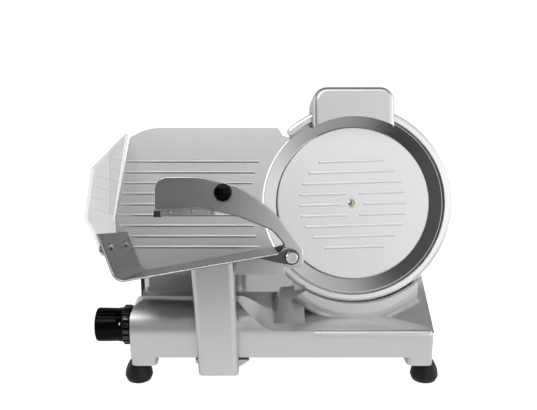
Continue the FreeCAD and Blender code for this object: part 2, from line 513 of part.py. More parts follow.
def drive_belt():
    """Flat ribbed belt round the blade pulley and the motor pulley."""
    def on_pulley(r, angle):
        return V(r * math.cos(angle), r * math.sin(angle), 0)

    def on_motor(r, angle):
        return on_pulley(r, angle) + V(MOTOR_U, MOTOR_V, 0)

    def loop(extra):
        r0, r1 = PULLEY_R + extra, MOTOR_PULLEY_R + extra
        way = math.atan2(MOTOR_V, MOTOR_U)
        side = math.acos((r0 - r1) / math.hypot(MOTOR_U, MOTOR_V))
        a, b = way + side, way - side
        big = Part.Arc(on_pulley(r0, a), on_pulley(r0, way + math.pi), on_pulley(r0, b)).toShape()
        small = Part.Arc(on_motor(r1, b), on_motor(r1, way), on_motor(r1, a)).toShape()
        run_out = Part.makeLine(on_pulley(r0, b), on_motor(r1, b))
        run_back = Part.makeLine(on_motor(r1, a), on_pulley(r0, a))
        return Part.Face(Part.Wire([big, run_out, small, run_back]))

    outer, inner = loop(2.3), loop(0.3)
    belt = outer.extrude(V(0, 0, 10)).cut(inner.extrude(V(0, 0, 10)))
    belt.translate(V(0, 0, -25))
    return belt


def motor_stator():
    w1 = TOWER_BACK - 2
    body = revolve([(0, w1 - 92), (MOTOR_R - 4, w1 - 92), (MOTOR_R, w1 - 88), (MOTOR_R, w1 - 4),
                    (24.0, w1), (0, w1)])
    bore = rod(MOTOR_SHAFT_R + RUN_CLEAR, (0, 0, w1 - 88), (0, 0, w1 + 1))
    hollow = rod(26.5, (0, 0, w1 - 80), (0, 0, w1 - 14)).fuse(bore)
    lug = box(-MOTOR_R - 8, MOTOR_R + 8, -8, 8, w1 - 8, w1 + 2)
    lug = lug.cut(rod(MOTOR_R - 3, (0, 0, w1 - 20), (0, 0, w1 + 3)))
    body = body.cut(hollow).fuse(lug)
    body.translate(V(MOTOR_U, MOTOR_V, 0))
    return body


def motor_shaft():
    w1 = TOWER_BACK - 2
    shape = rod(MOTOR_SHAFT_R, (0, 0, w1 - 87.5), (0, 0, -13))
    shape = shape.fuse(rod(26.0, (0, 0, w1 - 78), (0, 0, w1 - 16)))
    shape.translate(V(MOTOR_U, MOTOR_V, 0))
    return shape


def motor_pulley():
    shape = ring(MOTOR_SHAFT_R, MOTOR_PULLEY_R, -26.0, -13.5)
    shape.translate(V(MOTOR_U, MOTOR_V, 0))
    return shape


def motor_cover():
    """Cast shell behind the upright that houses the motor; open in front and below."""
    def shell(inset):
        top, back = COVER_V1 - inset, COVER_W0 + inset
        shape = box(COVER_U0 + inset, COVER_U1 - inset, -230, top, back, TOWER_BACK + inset * 3)
        return round_edges(shape, 20.0 - inset, lambda e: edge_along(e, V(0, 0, 1), y=(top, top))
                           or edge_along(e, V(1, 0, 0), y=(top, top), z=(back, back))
                           or edge_along(e, V(0, 1, 0), z=(back, back)))
    body = shell(0.0).common(box(-200, 200, -230, 200, -300, TOWER_BACK)).cut(shell(3.5))
    slots = [box(COVER_U0 + 26, COVER_U1 - 26, v, v + 4, COVER_W0 - 5, COVER_W0 + 8)
             for v in range(-100, -55, 9)]
    body = lean(body.cut(slots))
    return body.common(box(-200, 200, -200, 400, REAR_DECK_Z, 200))


def slice_deflector():
    """Bent sheet that peels each slice off the back of the blade."""
    side = TOWER_X0 - 6
    corners = [(side, -36), (side, -16), (-117.0, -11.5), (-117.6, -13.4), (side - DEFLECTOR_T, -18),
               (side - DEFLECTOR_T, -36)]
    plate = front_profile(corners, -34, 34)
    return plate.cut([rod(THREAD_R, (side - 5, v, -26), (side + 5, v, -26)) for v in DEFLECTOR_SCREWS])


# ---- gauge plate and thickness knob -------------------------------------------------------------------
def gauge_plate():
    """Ribbed fence that sets the slice thickness; its right edge follows the blade."""
    corners = [(-313.0, 92.0, 4), (-288.5, 105.5, 75), (-105.0, 105.5, 2), (-98.5, 95.0, 2), (-89.5, 92.0),
               (-89.5, -82.0), (-96.5, -82.0), (-100.5, -88.0, 2), (-103.0, -100.5, 7), (-327.0, -100.5, 16),
               (-334.0, -22.0, 60)]
    blade_hole = rod(BLADE_R + 2.0, (0, 0, -40), (0, 0, 40))
    front, back = -RIB_HEIGHT, -RIB_HEIGHT - 4.0
    plate = prism(corners, back, front).cut(blade_hole)
    rim = prism(corners, back - 7, back).cut(blade_hole)
    inner = [(-307.5, 89.0, 3), (-287.0, 101.5, 60), (-107.5, 101.5), (-101.0, 91.0), (-89.0, 88.0),
             (-89.0, -78.0), (-100.0, -78.0), (-104.0, -88.0), (-107.0, -96.5, 4), (-323.5, -96.5, 13),
             (-330.0, -22.0, 56)]
    rim = rim.cut(prism(inner, back - 8, back + 1).cut(rod(BLADE_R + 6, (0, 0, -40), (0, 0, 40))))
    ribs = []
    for i in range(GAUGE_RIBS):
        y = GAUGE_RIB_V - i * RIB_PITCH
        left = -329.0 + (y + 22.0) * 0.16 if y > -22 else -327.0 + (-22.0 - y) * 0.04
        right = -math.sqrt((BLADE_R + 19.5) ** 2 - y ** 2)
        ribs.append(rib(left, right, y, front))
    rim = rim.cut(box(GAUGE_U - 21, GAUGE_U + 21, -110, -90, back - 8, back - 4))
    seat = box(GAUGE_U - 24, GAUGE_U + 24, -98, -46, back - 4, back)
    screw_bores = [rod(GAUGE_SCREW_R, (u, v, back - 5), (u, v, back - 0.5)) for u, v in GAUGE_SCREWS]
    return join([plate, rim, seat] + ribs).cut(screw_bores)


def gauge_bracket():
    """Arm under the gauge plate that carries its guide rod and reaches across to the knob's cam."""
    front = -RIB_HEIGHT - 8.0
    plate = box(GAUGE_U - 20, GAUGE_U + 20, -172, -50, front - 8, front)
    collar = rod(15.0, (GAUGE_U, GAUGE_V, front - 14), (GAUGE_U, GAUGE_V, front))
    beam = box(-266, GAUGE_U + 20, -170, -157, front - 8, front)
    finger = box(-272, -266, -168, -157, front - 8, CAM_PIN_W + 6)
    bracket = join([plate, collar, beam, finger])
    bore = rod(GAUGE_ROD_R, (GAUGE_U, GAUGE_V, front - 20), (GAUGE_U, GAUGE_V, front + 1))
    pin_bore = rod(CAM_PIN_R, (-273, CAM_V, CAM_PIN_W), (-265, CAM_V, CAM_PIN_W))
    screw_bores = [rod(GAUGE_SCREW_R, (u, v, front - 12), (u, v, front + 1)) for u, v in GAUGE_SCREWS]
    return bracket.cut([bore, pin_bore] + screw_bores)


def gauge_guide_rod():
    return rod(GAUGE_ROD_R, (GAUGE_U, GAUGE_V, GAUGE_BUSH_W0 - 8), (GAUGE_U, GAUGE_V, -RIB_HEIGHT - 8.0))


def gauge_guide_bush():
    return ring(GAUGE_ROD_R + RUN_CLEAR, GAUGE_BUSH_R, GAUGE_BUSH_W0, GAUGE_BUSH_W1, GAUGE_U, GAUGE_V)


def gauge_follower_pin():
    return rod(CAM_PIN_R, (CAM_X0 + 4, CAM_V, CAM_PIN_W), (-266, CAM_V, CAM_PIN_W))


def gauge_screws():
    back = -RIB_HEIGHT - 16.0
    return Part.makeCompound([pan_screw(GAUGE_SCREW_R, 11, (u, v, back), (0, 0, -1), 4.75, 2.75)
                              for u, v in GAUGE_SCREWS])


def cam_groove_angle(turned):
    """Where the follower pin sits round the cam once the knob has turned this far, in radians."""
    return -math.radians(BLADE_TILT) - turned


def knob_cam_disc():
    """Disc on the knob shaft; its spiral groove moves the follower pin out as the knob is turned."""
    disc = ring(KNOB_SHAFT_R, CAM_R, 0, CAM_X1 - CAM_X0)
    steps = 20
    half = CAM_PIN_R + 0.35
    sides = {-1: [], 1: []}
    for i in range(-1, steps + 2):
        turned = math.radians(CAM_TURN) * i / steps
        r = CAM_PIN_R0 + GAUGE_TRAVEL * i / steps
        a = cam_groove_angle(turned)
        for s in sides:
            sides[s].append(V((r + s * half) * math.cos(a), (r + s * half) * math.sin(a), 0))
    edges = []
    for s in sides:
        curve = Part.BSplineCurve()
        curve.interpolate(sides[s])
        edges.append(curve.toShape())
    closing = [Part.makeLine(sides[-1][k], sides[1][k]) for k in (0, -1)]
    groove = Part.Face(Part.Wire([edges[0], closing[1], edges[1], closing[0]])).extrude(V(0, 0, 4.6))
    groove.translate(V(0, 0, CAM_X1 - CAM_X0 - 4.5))
    disc = disc.cut(groove)
    disc.Placement = FreeCAD.Placement(V(CAM_X0, KNOB_Y, KNOB_Z), FreeCAD.Rotation(V(1, 1, 1), 120))
    return disc


def knob_shaft():
    return rod(KNOB_SHAFT_R, (BASE_X0 - 30, KNOB_Y, KNOB_Z), (CAM_X1 + 2, KNOB_Y, KNOB_Z))


def knob_shaft_bush():
    tube = ring(KNOB_SHAFT_R + RUN_CLEAR, KNOB_BUSH_R, 0, 14)
    return along_x(tube, BASE_X0, KNOB_Y, KNOB_Z)


def thickness_knob():
    """Waisted grip with a wider numbered skirt beside the base."""
    end = -KNOB_LEN
    gap = -1.0
    skirt = -13.0
    profile = [(0, end), (KNOB_R - 4, end), (KNOB_R - 1, end + 1.2), (KNOB_R, end + 4),
               (KNOB_R - 0.5, skirt - 9), (KNOB_R + 0.6, skirt - 1), (KNOB_SKIRT_R - 0.8, skirt),
               (KNOB_SKIRT_R, skirt + 1), (KNOB_SKIRT_R, gap), (0, gap)]
    shaft_bore = rod(KNOB_SHAFT_R, (0, 0, -30), (0, 0, 1))
    hollow = ring(KNOB_SHAFT_R + 5, KNOB_SKIRT_R - 4, -9, 1)
    grips = []
    for k in range(12):
        angle = math.radians(30 * k)
        x, y = (KNOB_R + 0.9) * math.cos(angle), (KNOB_R + 0.9) * math.sin(angle)
        grips.append(rod(1.8, (x, y, end - 1), (x, y, skirt - 10)))
    return along_x(revolve(profile).cut([shaft_bore, hollow] + grips), BASE_X0, KNOB_Y, KNOB_Z)


# ---- carriage -----------------------------------------------------------------------------------------
def carriage_tray():
    """Bent sheet tray with two lugs on the right that hold the pusher rod."""
    tray = sheet([TRAY_TOP, TRAY_CORNER, TRAY_END], TRAY_T, 12.0, TRAY_W0, TRAY_W1)
    u, v = TRAY_END
    lugs = []
    for w0, w1 in LUGS:
        arm = prism([(u - 22, v - 3.9), (u - 22, v - 1.4), (u, v + 2.4), (ROD_U, ROD_V + 9),
                     (ROD_U, ROD_V - 9), (u, v - 9)], w0, w1)
        lugs.append(arm.fuse(rod(9.0, (ROD_U, ROD_V, w0), (ROD_U, ROD_V, w1))))
    holes = [rod(ROD_R, (ROD_U, ROD_V, 0), (ROD_U, ROD_V, 210))]
    holes += [guard_bolt_line(w, GUARD_BOLT_R, -12.0, 4.0) for w in GUARD_BOLT_W]
    return join([tray] + lugs).cut(holes)


def guard_bolt_line(w, radius, inward, outward):
    """Cylinder square to the tray's left wall, through the guard's lower bolts."""
    wall = V(TRAY_CORNER[0] - TRAY_TOP[0], TRAY_CORNER[1] - TRAY_TOP[1], 0).normalize()
    out = V(wall.y, -wall.x, 0)
    foot_point = V(TRAY_TOP[0], TRAY_TOP[1], w) + wall * GUARD_BOLT_DROP
    return Part.makeCylinder(radius, outward - inward, foot_point + out * inward, out)


def clear_guard():
    """Clear plastic side wall, bolted outside the tray, with a flange turned out at the back."""
    wall = V(TRAY_CORNER[0] - TRAY_TOP[0], TRAY_CORNER[1] - TRAY_TOP[1], 0).normalize()
    low = V(TRAY_TOP[0], TRAY_TOP[1], 0) + wall * 26.0
    top_bend = V(TRAY_TOP[0], TRAY_TOP[1], 0) - wall * 4.0
    path = [(low.x, low.y), (top_bend.x, top_bend.y), GUARD_ELBOW, GUARD_TOP]
    panel = sheet(path, GUARD_T, 2.0, GUARD_W0, TRAY_W1)
    (elbow_u, elbow_v), (top_u, top_v) = GUARD_ELBOW, GUARD_TOP
    flange = box(top_u - 26, top_u + 2, elbow_v + 6, top_v, GUARD_W0, GUARD_W0 + 2.5)
    wedge = prism([(top_u - 30, elbow_v + 5), (elbow_u - 1, elbow_v + 5), GUARD_TOP, (top_u - 24, top_v),
                   (top_u - 30, top_v - 12)], GUARD_W0, GUARD_W0 + 2.5)
    panel = panel.fuse(flange.common(wedge)).removeSplitter()
    chamfer = side_profile([(top_v + 1, GUARD_W0 + 1.0), (GUARD_CHAMFER_V, TRAY_W1 + 0.01),
                            (top_v + 50, TRAY_W1 + 1)], -400, -200)
    return panel.cut([chamfer] + [guard_bolt_line(w, GUARD_BOLT_R, -12.0, 9.0) for w in GUARD_BOLT_W])


def guard_bolts():
    bolts = []
    for w in GUARD_BOLT_W:
        shank = guard_bolt_line(w, GUARD_BOLT_R, -TRAY_T - 2, GUARD_T + 8)
        nut = guard_bolt_line(w, 5.5, GUARD_T, GUARD_T + 6)
        head = guard_bolt_line(w, 4.0, -TRAY_T - 2, -TRAY_T)
        bolts.append(shank.fuse([nut, head]))
    return Part.makeCompound(bolts)


def under_tray_space():
    """Everything above the underside of the tray floor, for trimming what is fixed beneath it."""
    run = V(TRAY_END[0] - TRAY_CORNER[0], TRAY_END[1] - TRAY_CORNER[1], 0).normalize()
    left = V(TRAY_CORNER[0], TRAY_CORNER[1], 0) - run * 100
    right = V(TRAY_END[0], TRAY_END[1], 0) + run * 100
    return lean(prism([(left.x, left.y), (right.x, right.y), (right.x, 200), (left.x, 200)], -300, 400))


def arm_outline(inset):
    low, radius = ARM_BOTTOM_Z + inset, 4 - inset / 2
    return [(ARM_BOTTOM_X[0] + inset, low, radius), (ARM_BOTTOM_X[1] - inset, low, radius),
            (ARM_TOP_X[1] - inset, 0), (ARM_TOP_X[0] + inset, 0)]


def carriage_arm():
    """Hollow cast arm that carries the tray from the slider, passing in front of the base."""
    arm = front_profile(arm_outline(0.0), ARM_Y0, ARM_Y1)
    arm = round_edges(arm, 8.0, lambda e: e.BoundBox.ZLength > 100 and abs(e.BoundBox.YMax - ARM_Y0) < 1e-3)
    hollow = front_profile(arm_outline(ARM_WALL), ARM_Y0 + ARM_WALL, ARM_Y1 + 1)
    hollow = hollow.common(box(-400, 400, -200, 0, ARM_BOTTOM_Z + 16, -75))
    bores = [rod(ARM_SCREW_R, (x, ARM_Y0 + ARM_WALL, SLIDER_PLATE_Z), (x, ARM_Y1 + 1, SLIDER_PLATE_Z))
             for x in ARM_SCREW_X]
    return arm.cut(hollow).cut(under_tray_space()).cut(bores)


def tray_bracket():
    """Cast foot screwed under the tray behind the arm, with a lug beside the arm."""
    foot_pad = box(-206, -166, ARM_Y1, -62, -66, 0)
    x0, x1 = ARM_TOP_X[1] + 6, ARM_TOP_X[1] + 24
    bridge = box(-180, x1, ARM_Y1, ARM_Y1 + 8, -60, 0)
    lug = box(x0, x1, ARM_Y0 + 8, ARM_Y1 + 8, -57, 0)
    return join([foot_pad, bridge, lug]).cut(under_tray_space())


def carriage_slider():
    """Block that runs on the guide rod inside the base, with the plate that reaches out to the arm."""
    block = box(SLIDER_X0, SLIDER_X1, -100, -68, SLIDER_Z + 6.5, SLIDER_TOP)
    block = round_edges(block, 8.0, lambda e: edge_along(e, V(1, 0, 0), z=(SLIDER_TOP, SLIDER_TOP)))
    plate = front_profile([(SLIDER_X0 - 0.5, SOLE_Z - 1.5), (SLIDER_X0 - 0.5, SLIDER_PLATE_Z),
                           (SLIDER_X0 + 5, SLIDER_Z), (SLIDER_X1 - 2, SLIDER_Z - 2),
                           (SLIDER_X1 + 10, SOLE_Z - 2.5), (SLIDER_X1 + 10, SOLE_Z - 1.5)], ARM_Y1, -68)
    x0, x1 = SLIDER_X0 + 10, SLIDER_X1 - 10
    fork_top = box(x0, x1, -68, RAIL_Y1 - 1, RAIL_Z1 + 0.3, RAIL_Z1 + 7)
    fork_low = box(x0, x1, -68, RAIL_Y1 - 1, SLIDER_Z, RAIL_Z0 - 0.3)
    spine = box(x0, x1, -70, RAIL_Y0 - 1, SLIDER_Z, RAIL_Z1 + 7)
    bores = [rod(SLIDER_BUSH_R, (SLIDER_X0 - 1, GUIDE_Y, GUIDE_Z), (SLIDER_X1 + 1, GUIDE_Y, GUIDE_Z))]
    bores += [rod(ARM_SCREW_R, (x, ARM_Y1 - 1, SLIDER_PLATE_Z), (x, ARM_Y1 + 14, SLIDER_PLATE_Z))
              for x in ARM_SCREW_X]
    return join([block, plate, fork_top, fork_low, spine]).cut(bores)


def slider_bushes():
    tube = ring(GUIDE_R + RUN_CLEAR, SLIDER_BUSH_R, 0, 18)
    return Part.makeCompound([along_x(tube, x, GUIDE_Y, GUIDE_Z) for x in (SLIDER_X0, SLIDER_X1 - 18)])


def arm_screws():
    head_y = ARM_Y0 + ARM_WALL + 3
    return Part.makeCompound([pan_screw(ARM_SCREW_R, 16, (x, head_y, SLIDER_PLATE_Z), (0, -1, 0), 2.5, 0.9)
                              for x in ARM_SCREW_X])


def pusher_rod():
    return rod(ROD_R, (ROD_U, ROD_V, LUGS[0][0]), (ROD_U, ROD_V, LUGS[1][1] + 8))


def pusher_rod_nut():
    w0 = LUGS[1][1]
    nut = ring(ROD_R, 6.6, w0, w0 + 9, ROD_U, ROD_V)
    cap = rod(6.6, (ROD_U, ROD_V, w0 + 8), (ROD_U, ROD_V, w0 + 10))
    socket = rod(2.5, (ROD_U, ROD_V, w0 + 8.6), (ROD_U, ROD_V, w0 + 11))
    return nut.fuse(cap).cut(socket).removeSplitter()


def pusher_collar():
    w1 = LUGS[1][0] - 1.0
    sleeve = ring(ROD_R + RUN_CLEAR, PUSHER_SLEEVE_R, w1 - 22, w1, ROD_U, ROD_V)
    flange = ring(ROD_R + RUN_CLEAR, 10.5, w1 - 22, w1 - 19, ROD_U, ROD_V)
    return sleeve.fuse(flange).removeSplitter()


def pusher_plate():
    """Curved press plate that swings on the collar and holds the food against the gauge plate."""
    corners = [(-254.0, -13.0, 3), (-254.0, 26.0, 15), (-204.0, 26.5, 80), (-152.0, 14.0, 90),
               (-112.0, -18.0, 80), (-81.0, -60.0, 12), (-81.0, -80.0, 6), (-108.0, -80.0, 8),
               (-103.0, -53.0, 12), (-118.0, -36.0, 25), (-158.0, -20.0, 60), (-200.0, -10.0, 60),
               (-232.0, -13.0, 30)]
    plate = prism(corners, PUSHER_W0, PUSHER_W1)
    plate = round_edges(plate, 1.5, lambda e: abs(e.BoundBox.ZMin - PUSHER_W1) < 1e-3)
    hub = rod(12.0, (ROD_U, ROD_V, PUSHER_W0 - 4), (ROD_U, ROD_V, PUSHER_W1 + 3))
    bore = rod(PUSHER_SLEEVE_R + RUN_CLEAR, (ROD_U, ROD_V, 100), (ROD_U, ROD_V, 220))
    stud = rod(PUSHER_STUD_R, (*PUSHER_KNOB, PUSHER_W0 - 1), (*PUSHER_KNOB, PUSHER_W1 + 1))
    return plate.fuse(hub).cut([bore, stud]).removeSplitter()


def pusher_knob():
    profile = [(0, 0), (6, 0), (5.5, 7), (8.8, 11), (10.2, 14.5), (10.2, 17.5), (8.2, 21.5), (4.5, 23.4),
               (0, 24)]
    shape = revolve(profile).fuse(rod(PUSHER_STUD_R, (0, 0, PUSHER_W0 - PUSHER_W1), (0, 0, 1)))
    shape.translate(V(*PUSHER_KNOB, PUSHER_W1))
    return shape


def pusher_teeth():
    """Spiked strip behind the press plate's lower edge."""
    strip = prism([(-247, -19), (-184, -18), (-184, -4), (-247, -4)], PUSHER_W0 - 2, PUSHER_W0)
    spikes = []
    for k in range(8):
        spikes.append(Part.makeCone(1.6, 0.3, 5, V(-242 + 7.6 * k, -15, PUSHER_W0 - 2), V(0, 0, -1)))
    return strip.fuse(spikes)


def pusher_bumper():
    return box(-255, -247, -21.0, -13.5, PUSHER_W0 - 6, PUSHER_W1)


# ---- sharpener, switches, inlet -----------------------------------------------------------------------
def sharpener_housing():
    """Cover over the top of the blade that holds both stones; it slides up its post."""
    def arch(inset, v0):
        u0, u1, v1, radius = SHARP_U0 + inset, SHARP_U1 - inset, SHARP_V1 - inset, 20 - inset
        return [(u0, v0), (u0, v1, radius), (u1, v1, radius), (u1, v0)]

    def shell(inset, v0):
        front = SHARP_W1 - inset
        return round_edges(prism(arch(inset, v0), SHARP_W0 + inset, front), SHARP_EDGE_R - inset,
                           lambda e: abs(e.BoundBox.ZMin - front) < 1e-3 and e.BoundBox.ZLength < 1e-3
                           and e.BoundBox.YMax > v0 + 1)
    body = shell(0, SHARP_V0).cut(shell(SHARP_WALL, SHARP_V0 - 1))
    blade_room = rod(118.7, (0, 0, 0), (0, 0, 60))
    ring_room = rod(RING_OUT_R + 1.5, (0, 0, TOWER_BACK - 1.5), (0, 0, RING_FRONT + 2))
    back_room = box(-80, 80, 90, 126, SHARP_W0 - 1, SHARP_W0 + 4)
    body = body.cut([blade_room, ring_room, back_room])
    socket = rod(POST_R + 4, (POST_U, 106, POST_W), (POST_U, SHARP_V1 - 1, POST_W))
    web = box(POST_U - 3, POST_U + 3, 146, SHARP_V1 - 1, SHARP_W0 + 1, POST_W)
    holes = [rod(POST_R + RUN_CLEAR, (POST_U, 100, POST_W), (POST_U, SHARP_V1 - SHARP_WALL, POST_W))]
    holes += [rod(STONE_ROD_R + RUN_CLEAR, (u, STONE_V, SHARP_W0 - 3), (u, STONE_V, SHARP_W0 + 8))
              for u in STONE_U]
    return join([body, socket, web]).cut(holes)


def sharpener_post():
    return rod(POST_R, (POST_U, 80, POST_W), (POST_U, SHARP_V1 - 3.5, POST_W))


def sharpener_button(u):
    """Push button with the spindle that carries its stone."""
    spindle = rod(STONE_ROD_R, (u, STONE_V, SHARP_W0 - 8), (u, STONE_V, STONE_W1 + 2))
    face = SHARP_W0 - 13
    cap = rod(9.0, (u, STONE_V, face), (u, STONE_V, SHARP_W0 - 7))
    cap = round_edges(cap, 1.5, lambda e: abs(e.BoundBox.ZMin - face) < 1e-3 and e.BoundBox.ZLength < 1e-3)
    stop = ring(STONE_ROD_R - 0.1, 6.0, SHARP_W0 + 8.6, SHARP_W0 + 11, u, STONE_V)
    return join([spindle, cap, stop])


def stone(u):
    return ring(STONE_ROD_R + RUN_CLEAR, STONE_R, STONE_W0, STONE_W1, u, STONE_V)


def switch_panel():
    """Moulded panel on the left end of the electrical housing, with a well for each button."""
    panel = box(PANEL_X0, ELECTRIC_X0, PANEL_Y0, PANEL_Y1, PANEL_Z0, PANEL_Z1)
    panel = round_edges(panel, 6.0, lambda e: edge_along(e, V(1, 0, 0)))
    panel = round_edges(panel, 2.0, lambda e: abs(e.BoundBox.XMax - PANEL_X0) < 1e-3)
    holes = [rod(BUTTON_R + 0.4, (PANEL_X0 - 1, y, BUTTON_Z), (ELECTRIC_X0 + 1, y, BUTTON_Z))
             for y in BUTTON_Y]
    holes += [rod(THREAD_R, (PANEL_X0 - 1, y, z), (ELECTRIC_X0 + 1, y, z)) for y, z in PANEL_SCREWS]
    return panel.cut(holes)


def switch_block():
    return box(ELECTRIC_X0 + WALL + 3, ELECTRIC_X0 + 32, 68, 108, -138, -114)


def switch_button(y, proud):
    cap = rod(BUTTON_R, (PANEL_X0 - proud, y, BUTTON_Z), (ELECTRIC_X0 + 3, y, BUTTON_Z))
    return round_edges(cap, 1.2, lambda e: abs(e.BoundBox.XMax - (PANEL_X0 - proud)) < 1e-3)


def cord_inlet():
    """Gland for the mains lead at the back of the electrical housing."""
    def barrel(radius, y0, y1):
        return rod(radius, (INLET_X, y0, INLET_Z), (INLET_X, y1, INLET_Z))
    outside, inside = BASE_Y1, BASE_Y1 - WALL
    body = join([barrel(INLET_R, inside, outside), barrel(INLET_R + 4, outside, outside + 8),
                 barrel(INLET_R + 3, inside - 4, inside)])
    return body.cut(barrel(4.0, BASE_Y1 - 20, BASE_Y1 + 20))


def carriage_guide_rod():
    return rod(GUIDE_R, (GUIDE_ENDS[0][0], GUIDE_Y, GUIDE_Z), (GUIDE_ENDS[1][1] - 2, GUIDE_Y, GUIDE_Z))


def carriage_guide_rail():
    return box(RAIL_ENDS[0][0], RAIL_ENDS[1][1], RAIL_Y0, RAIL_Y1, RAIL_Z0, RAIL_Z1)


# ---- the assembly -------------------------------------------------------------------------------------
def make_parts():
    level = (base_casting, base_bottom_plate, foot_screws, m4_screws, carriage_guide_rod,
             carriage_guide_rail, switch_panel, switch_block, cord_inlet, motor_cover, knob_shaft_bush,
             knob_shaft, knob_cam_disc, thickness_knob, carriage_arm, tray_bracket, carriage_slider,
             slider_bushes, arm_screws)
    leaning = (blade_ring_guard, blade_cover, blade_cover_bolt, blade_spindle, motor_stator, drive_belt,
               slice_deflector, gauge_guide_bush, sharpener_post, blade, blade_pulley, blade_bearings,
               blade_screws, motor_shaft, motor_pulley, gauge_plate, gauge_bracket, gauge_guide_rod,
               gauge_follower_pin, gauge_screws, carriage_tray, clear_guard, guard_bolts, pusher_rod,
               pusher_rod_nut, pusher_collar, pusher_plate, pusher_knob, pusher_teeth, pusher_bumper,
               sharpener_housing)
    made = {build.__name__: build() for build in level}
    made.update({build.__name__: lean(build()) for build in leaning})
    feet = ("foot_front_left", "foot_front_right", "foot_rear_left", "foot_rear_right")
    for name, (x, y) in zip(feet, FOOT_PLACES):
        made[name] = foot(x, y)
    for name, u in zip(("grinding", "honing"), STONE_U):
        made[name + "_stone"] = lean(stone(u))
        made[name + "_button"] = lean(sharpener_button(u))
    for name, y, proud in zip(("start_button", "stop_button"), BUTTON_Y, (3.0, 5.0)):
        made[name] = switch_button(y, proud)
    return made


def origin_shift(made):
    """Offset that puts the origin under the middle of the whole, on the table."""
    boxes = [shape.optimalBoundingBox(False) for shape in made.values()]
    middle_x = (min(b.XMin for b in boxes) + max(b.XMax for b in boxes)) / 2
    middle_y = (min(b.YMin for b in boxes) + max(b.YMax for b in boxes)) / 2
    return V(-middle_x, -middle_y, -TABLE_Z)


def main():
    os.makedirs("parts", exist_ok=True)
    made = make_parts()
    shift = origin_shift(made)
    for name, shape in made.items():
        shape.translate(shift)
        shape.exportStep("parts/%s.step" % name)
        state = "" if shape.isValid() else "  NOT VALID"
        print("%-22s %2d solids  %9.0f mm3%s" % (name, len(shape.Solids), shape.Volume, state))
    print("%d nodes, blade centre at %.3f %.3f %.3f" % (len(made), shift.x, shift.y, shift.z))


main()
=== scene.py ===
import json
import math

import bpy
from mathutils import Matrix, Vector


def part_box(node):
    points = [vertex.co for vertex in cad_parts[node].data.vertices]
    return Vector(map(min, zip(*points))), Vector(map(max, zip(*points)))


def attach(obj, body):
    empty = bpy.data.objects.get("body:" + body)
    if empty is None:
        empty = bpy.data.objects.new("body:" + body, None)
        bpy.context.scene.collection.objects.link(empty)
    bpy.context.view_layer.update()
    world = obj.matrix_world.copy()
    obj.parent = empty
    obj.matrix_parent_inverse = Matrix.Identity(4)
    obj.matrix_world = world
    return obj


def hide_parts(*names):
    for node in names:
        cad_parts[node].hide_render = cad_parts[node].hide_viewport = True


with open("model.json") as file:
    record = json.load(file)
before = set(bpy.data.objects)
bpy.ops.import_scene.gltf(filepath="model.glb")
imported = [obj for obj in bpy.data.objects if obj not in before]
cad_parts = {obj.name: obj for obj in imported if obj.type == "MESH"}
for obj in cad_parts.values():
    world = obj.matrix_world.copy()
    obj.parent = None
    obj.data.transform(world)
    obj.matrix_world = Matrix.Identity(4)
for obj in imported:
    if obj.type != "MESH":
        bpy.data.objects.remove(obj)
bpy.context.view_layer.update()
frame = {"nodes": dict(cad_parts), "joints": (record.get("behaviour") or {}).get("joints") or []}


# Bench: a plain pale sheet under the slicer, wide enough to run out of sight, that glows though it is no
# lamp.
# What the metal mirrors of it has painted shade in front of the slicer, and on the right a painted glow
# in place of the white wall's light.
BENCH_WIDE = 60.0
BENCH_ROUGH = 0.6
BENCH_SHINE = 0.2
BENCH_WHITE = 0.94
BENCH_PAINTED_SHADE_FAR = 0.06
BENCH_GLOW = 0.20
BENCH_GLOW_SEEN = 0.85
BENCH_FADE_FROM = -0.95
BENCH_FADE_TO = -0.2
BENCH_SIDE_GLOW = 0.45
BENCH_SIDE_FROM = 0.15
BENCH_SIDE_TO = 0.75


def nothing_selected():
    """An operator works on all that is selected, so each piece starts from a clear selection."""
    bpy.ops.object.select_all(action="DESELECT")


nothing_selected()
bpy.ops.mesh.primitive_plane_add(size=BENCH_WIDE, location=(0, 0, 0))
bench = bpy.context.object
bench.name = "bench_top"
bench_white = bpy.data.materials.new("bench_white")
bench_white.use_nodes = True
bench_tree = bench_white.node_tree
bench_shader = bench_tree.nodes["Principled BSDF"]
bench_shader.inputs["Roughness"].default_value = BENCH_ROUGH
bench_shader.inputs["Specular IOR Level"].default_value = BENCH_SHINE
bench_shader.inputs["Emission Color"].default_value = (1, 1, 1, 1)
bench_place = bench_tree.nodes.new("ShaderNodeTexCoord")
bench_axes = bench_tree.nodes.new("ShaderNodeSeparateXYZ")
bench_tree.links.new(bench_place.outputs["Object"], bench_axes.inputs["Vector"])
bench_ray = bench_tree.nodes.new("ShaderNodeLightPath")


def faded(tree, along, start, end, low, high):
    """A level that goes smoothly from low to high where the value along goes from start to end."""
    fade = tree.nodes.new("ShaderNodeMapRange")
    fade.interpolation_type = "SMOOTHSTEP"
    fade.inputs["From Min"].default_value = start
    fade.inputs["From Max"].default_value = end
    fade.inputs["To Min"].default_value = low
    fade.inputs["To Max"].default_value = high
    tree.links.new(along, fade.inputs["Value"])
    return fade


across = bench_axes.outputs["X"]
inward = bench_axes.outputs["Y"]
# Painted light: a glow that grows towards the right, and a colour and glow that fade to painted shade in
# front of the slicer.
bench_painted_side_glow = faded(bench_tree, across, BENCH_SIDE_FROM, BENCH_SIDE_TO, 0, BENCH_SIDE_GLOW)
bench_painted_shade = faded(bench_tree, inward, BENCH_FADE_FROM, BENCH_FADE_TO, BENCH_PAINTED_SHADE_FAR, BENCH_WHITE)
bench_painted_glow = faded(bench_tree, inward, BENCH_FADE_FROM, BENCH_FADE_TO, 0, BENCH_GLOW)
bench_tree.links.new(bench_painted_side_glow.outputs["Result"], bench_painted_glow.inputs["To Min"])
